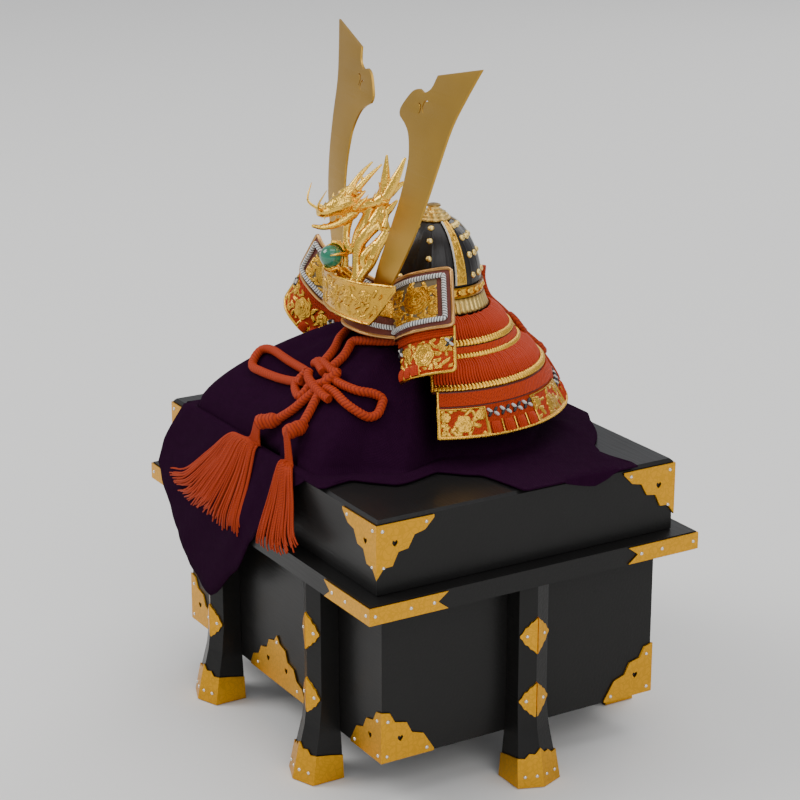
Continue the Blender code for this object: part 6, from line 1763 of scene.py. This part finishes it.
def make_stage(sizes):
    shape = Shape()
    half = 8.0
    shape.add([(-half, -half, 0), (half, -half, 0), (half, half, 0), (-half, half, 0)], [(0, 1, 2, 3)])
    floor = shape.make("floor", ["pale_floor"])
    world = bpy.context.scene.world or bpy.data.worlds.new("studio")
    bpy.context.scene.world = world
    world.use_nodes = True
    world.node_tree.nodes["Background"].inputs["Color"].default_value = (0.93, 0.95, 1.0, 1.0)
    world.node_tree.nodes["Background"].inputs["Strength"].default_value = sizes.sky
    for name, place, size, power in (
            ("key", (-1.6, -2.2, 2.6), 1.8, sizes.key), ("fill", (2.6, -0.4, 1.8), 2.0, sizes.key*0.42),
            ("top", (0.2, 0.6, 3.2), 2.6, sizes.key*0.62), ("back", (-1.4, 2.6, 1.6), 1.6, sizes.key*0.26)):
        light = bpy.data.lights.new(name, "AREA")
        light.energy, light.size = power, size
        lamp = bpy.data.objects.new(name, light)
        bpy.context.collection.objects.link(lamp)
        lamp.location = place
        lamp.rotation_mode = "QUATERNION"
        lamp.rotation_quaternion = (Vector((0, 0, 0.2)) - Vector(place)).to_track_quat("-Z", "Y")
    camera = bpy.data.cameras.new("camera")
    camera.lens, camera.sensor_width = 101.16, 36.0
    camera.clip_start, camera.clip_end = 0.05, 30.0
    eye = bpy.data.objects.new("camera", camera)
    bpy.context.collection.objects.link(eye)
    turn, tilt = math.radians(59.04), math.radians(17.91)
    eye.location = (1.0455, -0.6362, 0.5798)
    eye.rotation_euler = (math.pi/2 - tilt, 0.0, turn)
    bpy.context.scene.camera = eye


# Add-on parts

def colour_property(name, description, default):
    return bpy.props.FloatVectorProperty(name=name, description=description, default=default,
                                         subtype="COLOR", size=3, min=0.0, max=1.0)


def length_property(name, description, default):
    return bpy.props.FloatProperty(name=name, description=description, default=default, unit="LENGTH",
                                   precision=5, min=0.0)


class HelmetColours(bpy.types.PropertyGroup):
    """Colours of the helmet, the chest and the cloth."""
    lacquer: colour_property("Lacquer", "Black of the chest", (0.0012, 0.0011, 0.0012))
    gilt: colour_property("Gilt", "Satin gold of the chest's fittings", (0.72, 0.35, 0.022))
    pale_gold: colour_property("Pale gold", "Gold of the band, crown and rivets", (0.90, 0.64, 0.20))
    relief_gold: colour_property("Relief gold", "Gold of the pressed reliefs", (0.80, 0.45, 0.055))
    cast_gold: colour_property("Cast gold", "Bright gold of the dragon", (1.0, 0.62, 0.09))
    horn_gold: colour_property("Horn gold", "Brushed brown gold of the horns", (0.52, 0.30, 0.05))
    cord: colour_property("Cord", "Vermilion of the cords and tassels", (0.44, 0.042, 0.006))
    lacing: colour_property("Lacing", "Orange red of the lacing", (0.50, 0.038, 0.003))
    leather: colour_property("Leather", "Dark red-brown leather", (0.13, 0.022, 0.012))
    cloth: colour_property("Cloth", "Dark aubergine of the cloth", (0.0170, 0.0026, 0.0150))
    floor: colour_property("Floor", "Pale studio floor", (0.80, 0.79, 0.765))


class HelmetSizes(bpy.types.PropertyGroup):
    """Sizes and counts that a user might change."""
    nail: length_property("Nail", "Radius of the chest's nail heads", 0.00105)
    rivet: length_property("Rivet", "Radius of the bowl's rivets", 0.0019)
    lace: length_property("Lace pitch", "Distance between upright lacing cords", 0.00145)
    scale: length_property("Scale pitch", "Distance between gilt scale heads", 0.0021)
    cord: length_property("Cord", "Diameter of the chin cord", 0.0050)
    rear_cord: length_property("Rear cord", "Diameter of the rear cord", 0.0038)
    loop: length_property("Loop", "Length of the chin cord's loop", 0.286)
    threads: bpy.props.IntProperty(name="Threads", description="Threads of the larger tassel", default=74,
                                   min=4)
    key: bpy.props.FloatProperty(name="Key light", description="Power of the main soft light",
                                 default=66.0, unit="POWER")
    sky: bpy.props.FloatProperty(name="Sky", description="Strength of the even surrounding light",
                                 default=0.60)


class HELMET_OT_finishes(bpy.types.Operator):
    """Make the finishes and their shared effects"""
    bl_idname = "helmet.finishes"
    bl_label = "Finishes"

    def execute(self, context):
        make_finishes(context.scene.helmet_colours)
        return {"FINISHED"}


class HELMET_OT_stage(bpy.types.Operator):
    """Set the floor, the soft lights and the camera"""
    bl_idname = "helmet.stage"
    bl_label = "Stage"

    def execute(self, context):
        make_stage(context.scene.helmet_sizes)
        return {"FINISHED"}


class HELMET_OT_cloth_and_cords(bpy.types.Operator):
    """Drape the cloth and lay the chin cord, its bow and its tassels on it"""
    bl_idname = "helmet.cloth_and_cords"
    bl_label = "Cloth and cords"

    def execute(self, context):
        surface = make_cloth()
        make_cords(context.scene.helmet_sizes, surface)
        return {"FINISHED"}


class HELMET_OT_chest(bpy.types.Operator):
    """Finish the chest and add its lozenges and nails"""
    bl_idname = "helmet.chest"
    bl_label = "Chest"

    def execute(self, context):
        dress_chest(context.scene.helmet_sizes)
        return {"FINISHED"}


class HELMET_OT_bowl(bpy.types.Operator):
    """Build the bowl, its rivets and strips, the crown and the band"""
    bl_idname = "helmet.bowl"
    bl_label = "Bowl"

    def execute(self, context):
        sizes = context.scene.helmet_sizes
        make_bowl(sizes)
        make_crown()
        make_band()
        return {"FINISHED"}


class HELMET_OT_guard(bpy.types.Operator):
    """Build the laced neck guard and the cord at its back"""
    bl_idname = "helmet.guard"
    bl_label = "Neck guard"

    def execute(self, context):
        make_guard(context.scene.helmet_sizes)
        make_rear_cord(context.scene.helmet_sizes)
        return {"FINISHED"}


class HELMET_OT_wings(bpy.types.Operator):
    """Build the visor and the turned-back wings"""
    bl_idname = "helmet.wings"
    bl_label = "Visor and wings"

    def execute(self, context):
        make_visor()
        make_wings()
        return {"FINISHED"}


class HELMET_OT_crest(bpy.types.Operator):
    """Build the mount plate, the horns, the dragon and its ball"""
    bl_idname = "helmet.crest"
    bl_label = "Crest"

    def execute(self, context):
        make_crest_plate()
        make_horn("right", 1)
        make_horn("left", -1)
        make_dragon()
        make_sockets()
        return {"FINISHED"}


STEPS = (HELMET_OT_finishes, HELMET_OT_stage, HELMET_OT_cloth_and_cords, HELMET_OT_chest, HELMET_OT_bowl,
         HELMET_OT_guard,
         HELMET_OT_wings, HELMET_OT_crest)


class HELMET_PT_steps(bpy.types.Panel):
    """The steps that dress the helmet"""
    bl_idname = "HELMET_PT_steps"
    bl_label = "Display helmet"
    bl_space_type = "VIEW_3D"
    bl_region_type = "UI"
    bl_category = "Helmet"

    def draw(self, context):
        for step in STEPS:
            self.layout.operator(step.bl_idname)
        for group in (context.scene.helmet_colours, context.scene.helmet_sizes):
            for name in group.bl_rna.properties.keys():
                if name not in ("name", "rna_type"):
                    self.layout.prop(group, name)


CLASSES = (HelmetColours, HelmetSizes) + STEPS + (HELMET_PT_steps,)


def register():
    for item in CLASSES:
        bpy.utils.register_class(item)
    bpy.types.Scene.helmet_colours = bpy.props.PointerProperty(type=HelmetColours)
    bpy.types.Scene.helmet_sizes = bpy.props.PointerProperty(type=HelmetSizes)


def unregister():
    del bpy.types.Scene.helmet_sizes
    del bpy.types.Scene.helmet_colours
    for item in reversed(CLASSES):
        bpy.utils.unregister_class(item)


def main():
    register()
    bpy.ops.helmet.finishes()
    bpy.ops.helmet.stage()
    bpy.ops.helmet.cloth_and_cords()
    bpy.ops.helmet.chest()
    bpy.ops.helmet.bowl()
    bpy.ops.helmet.guard()
    bpy.ops.helmet.wings()
    bpy.ops.helmet.crest()


if __name__ == "__main__":
    main()
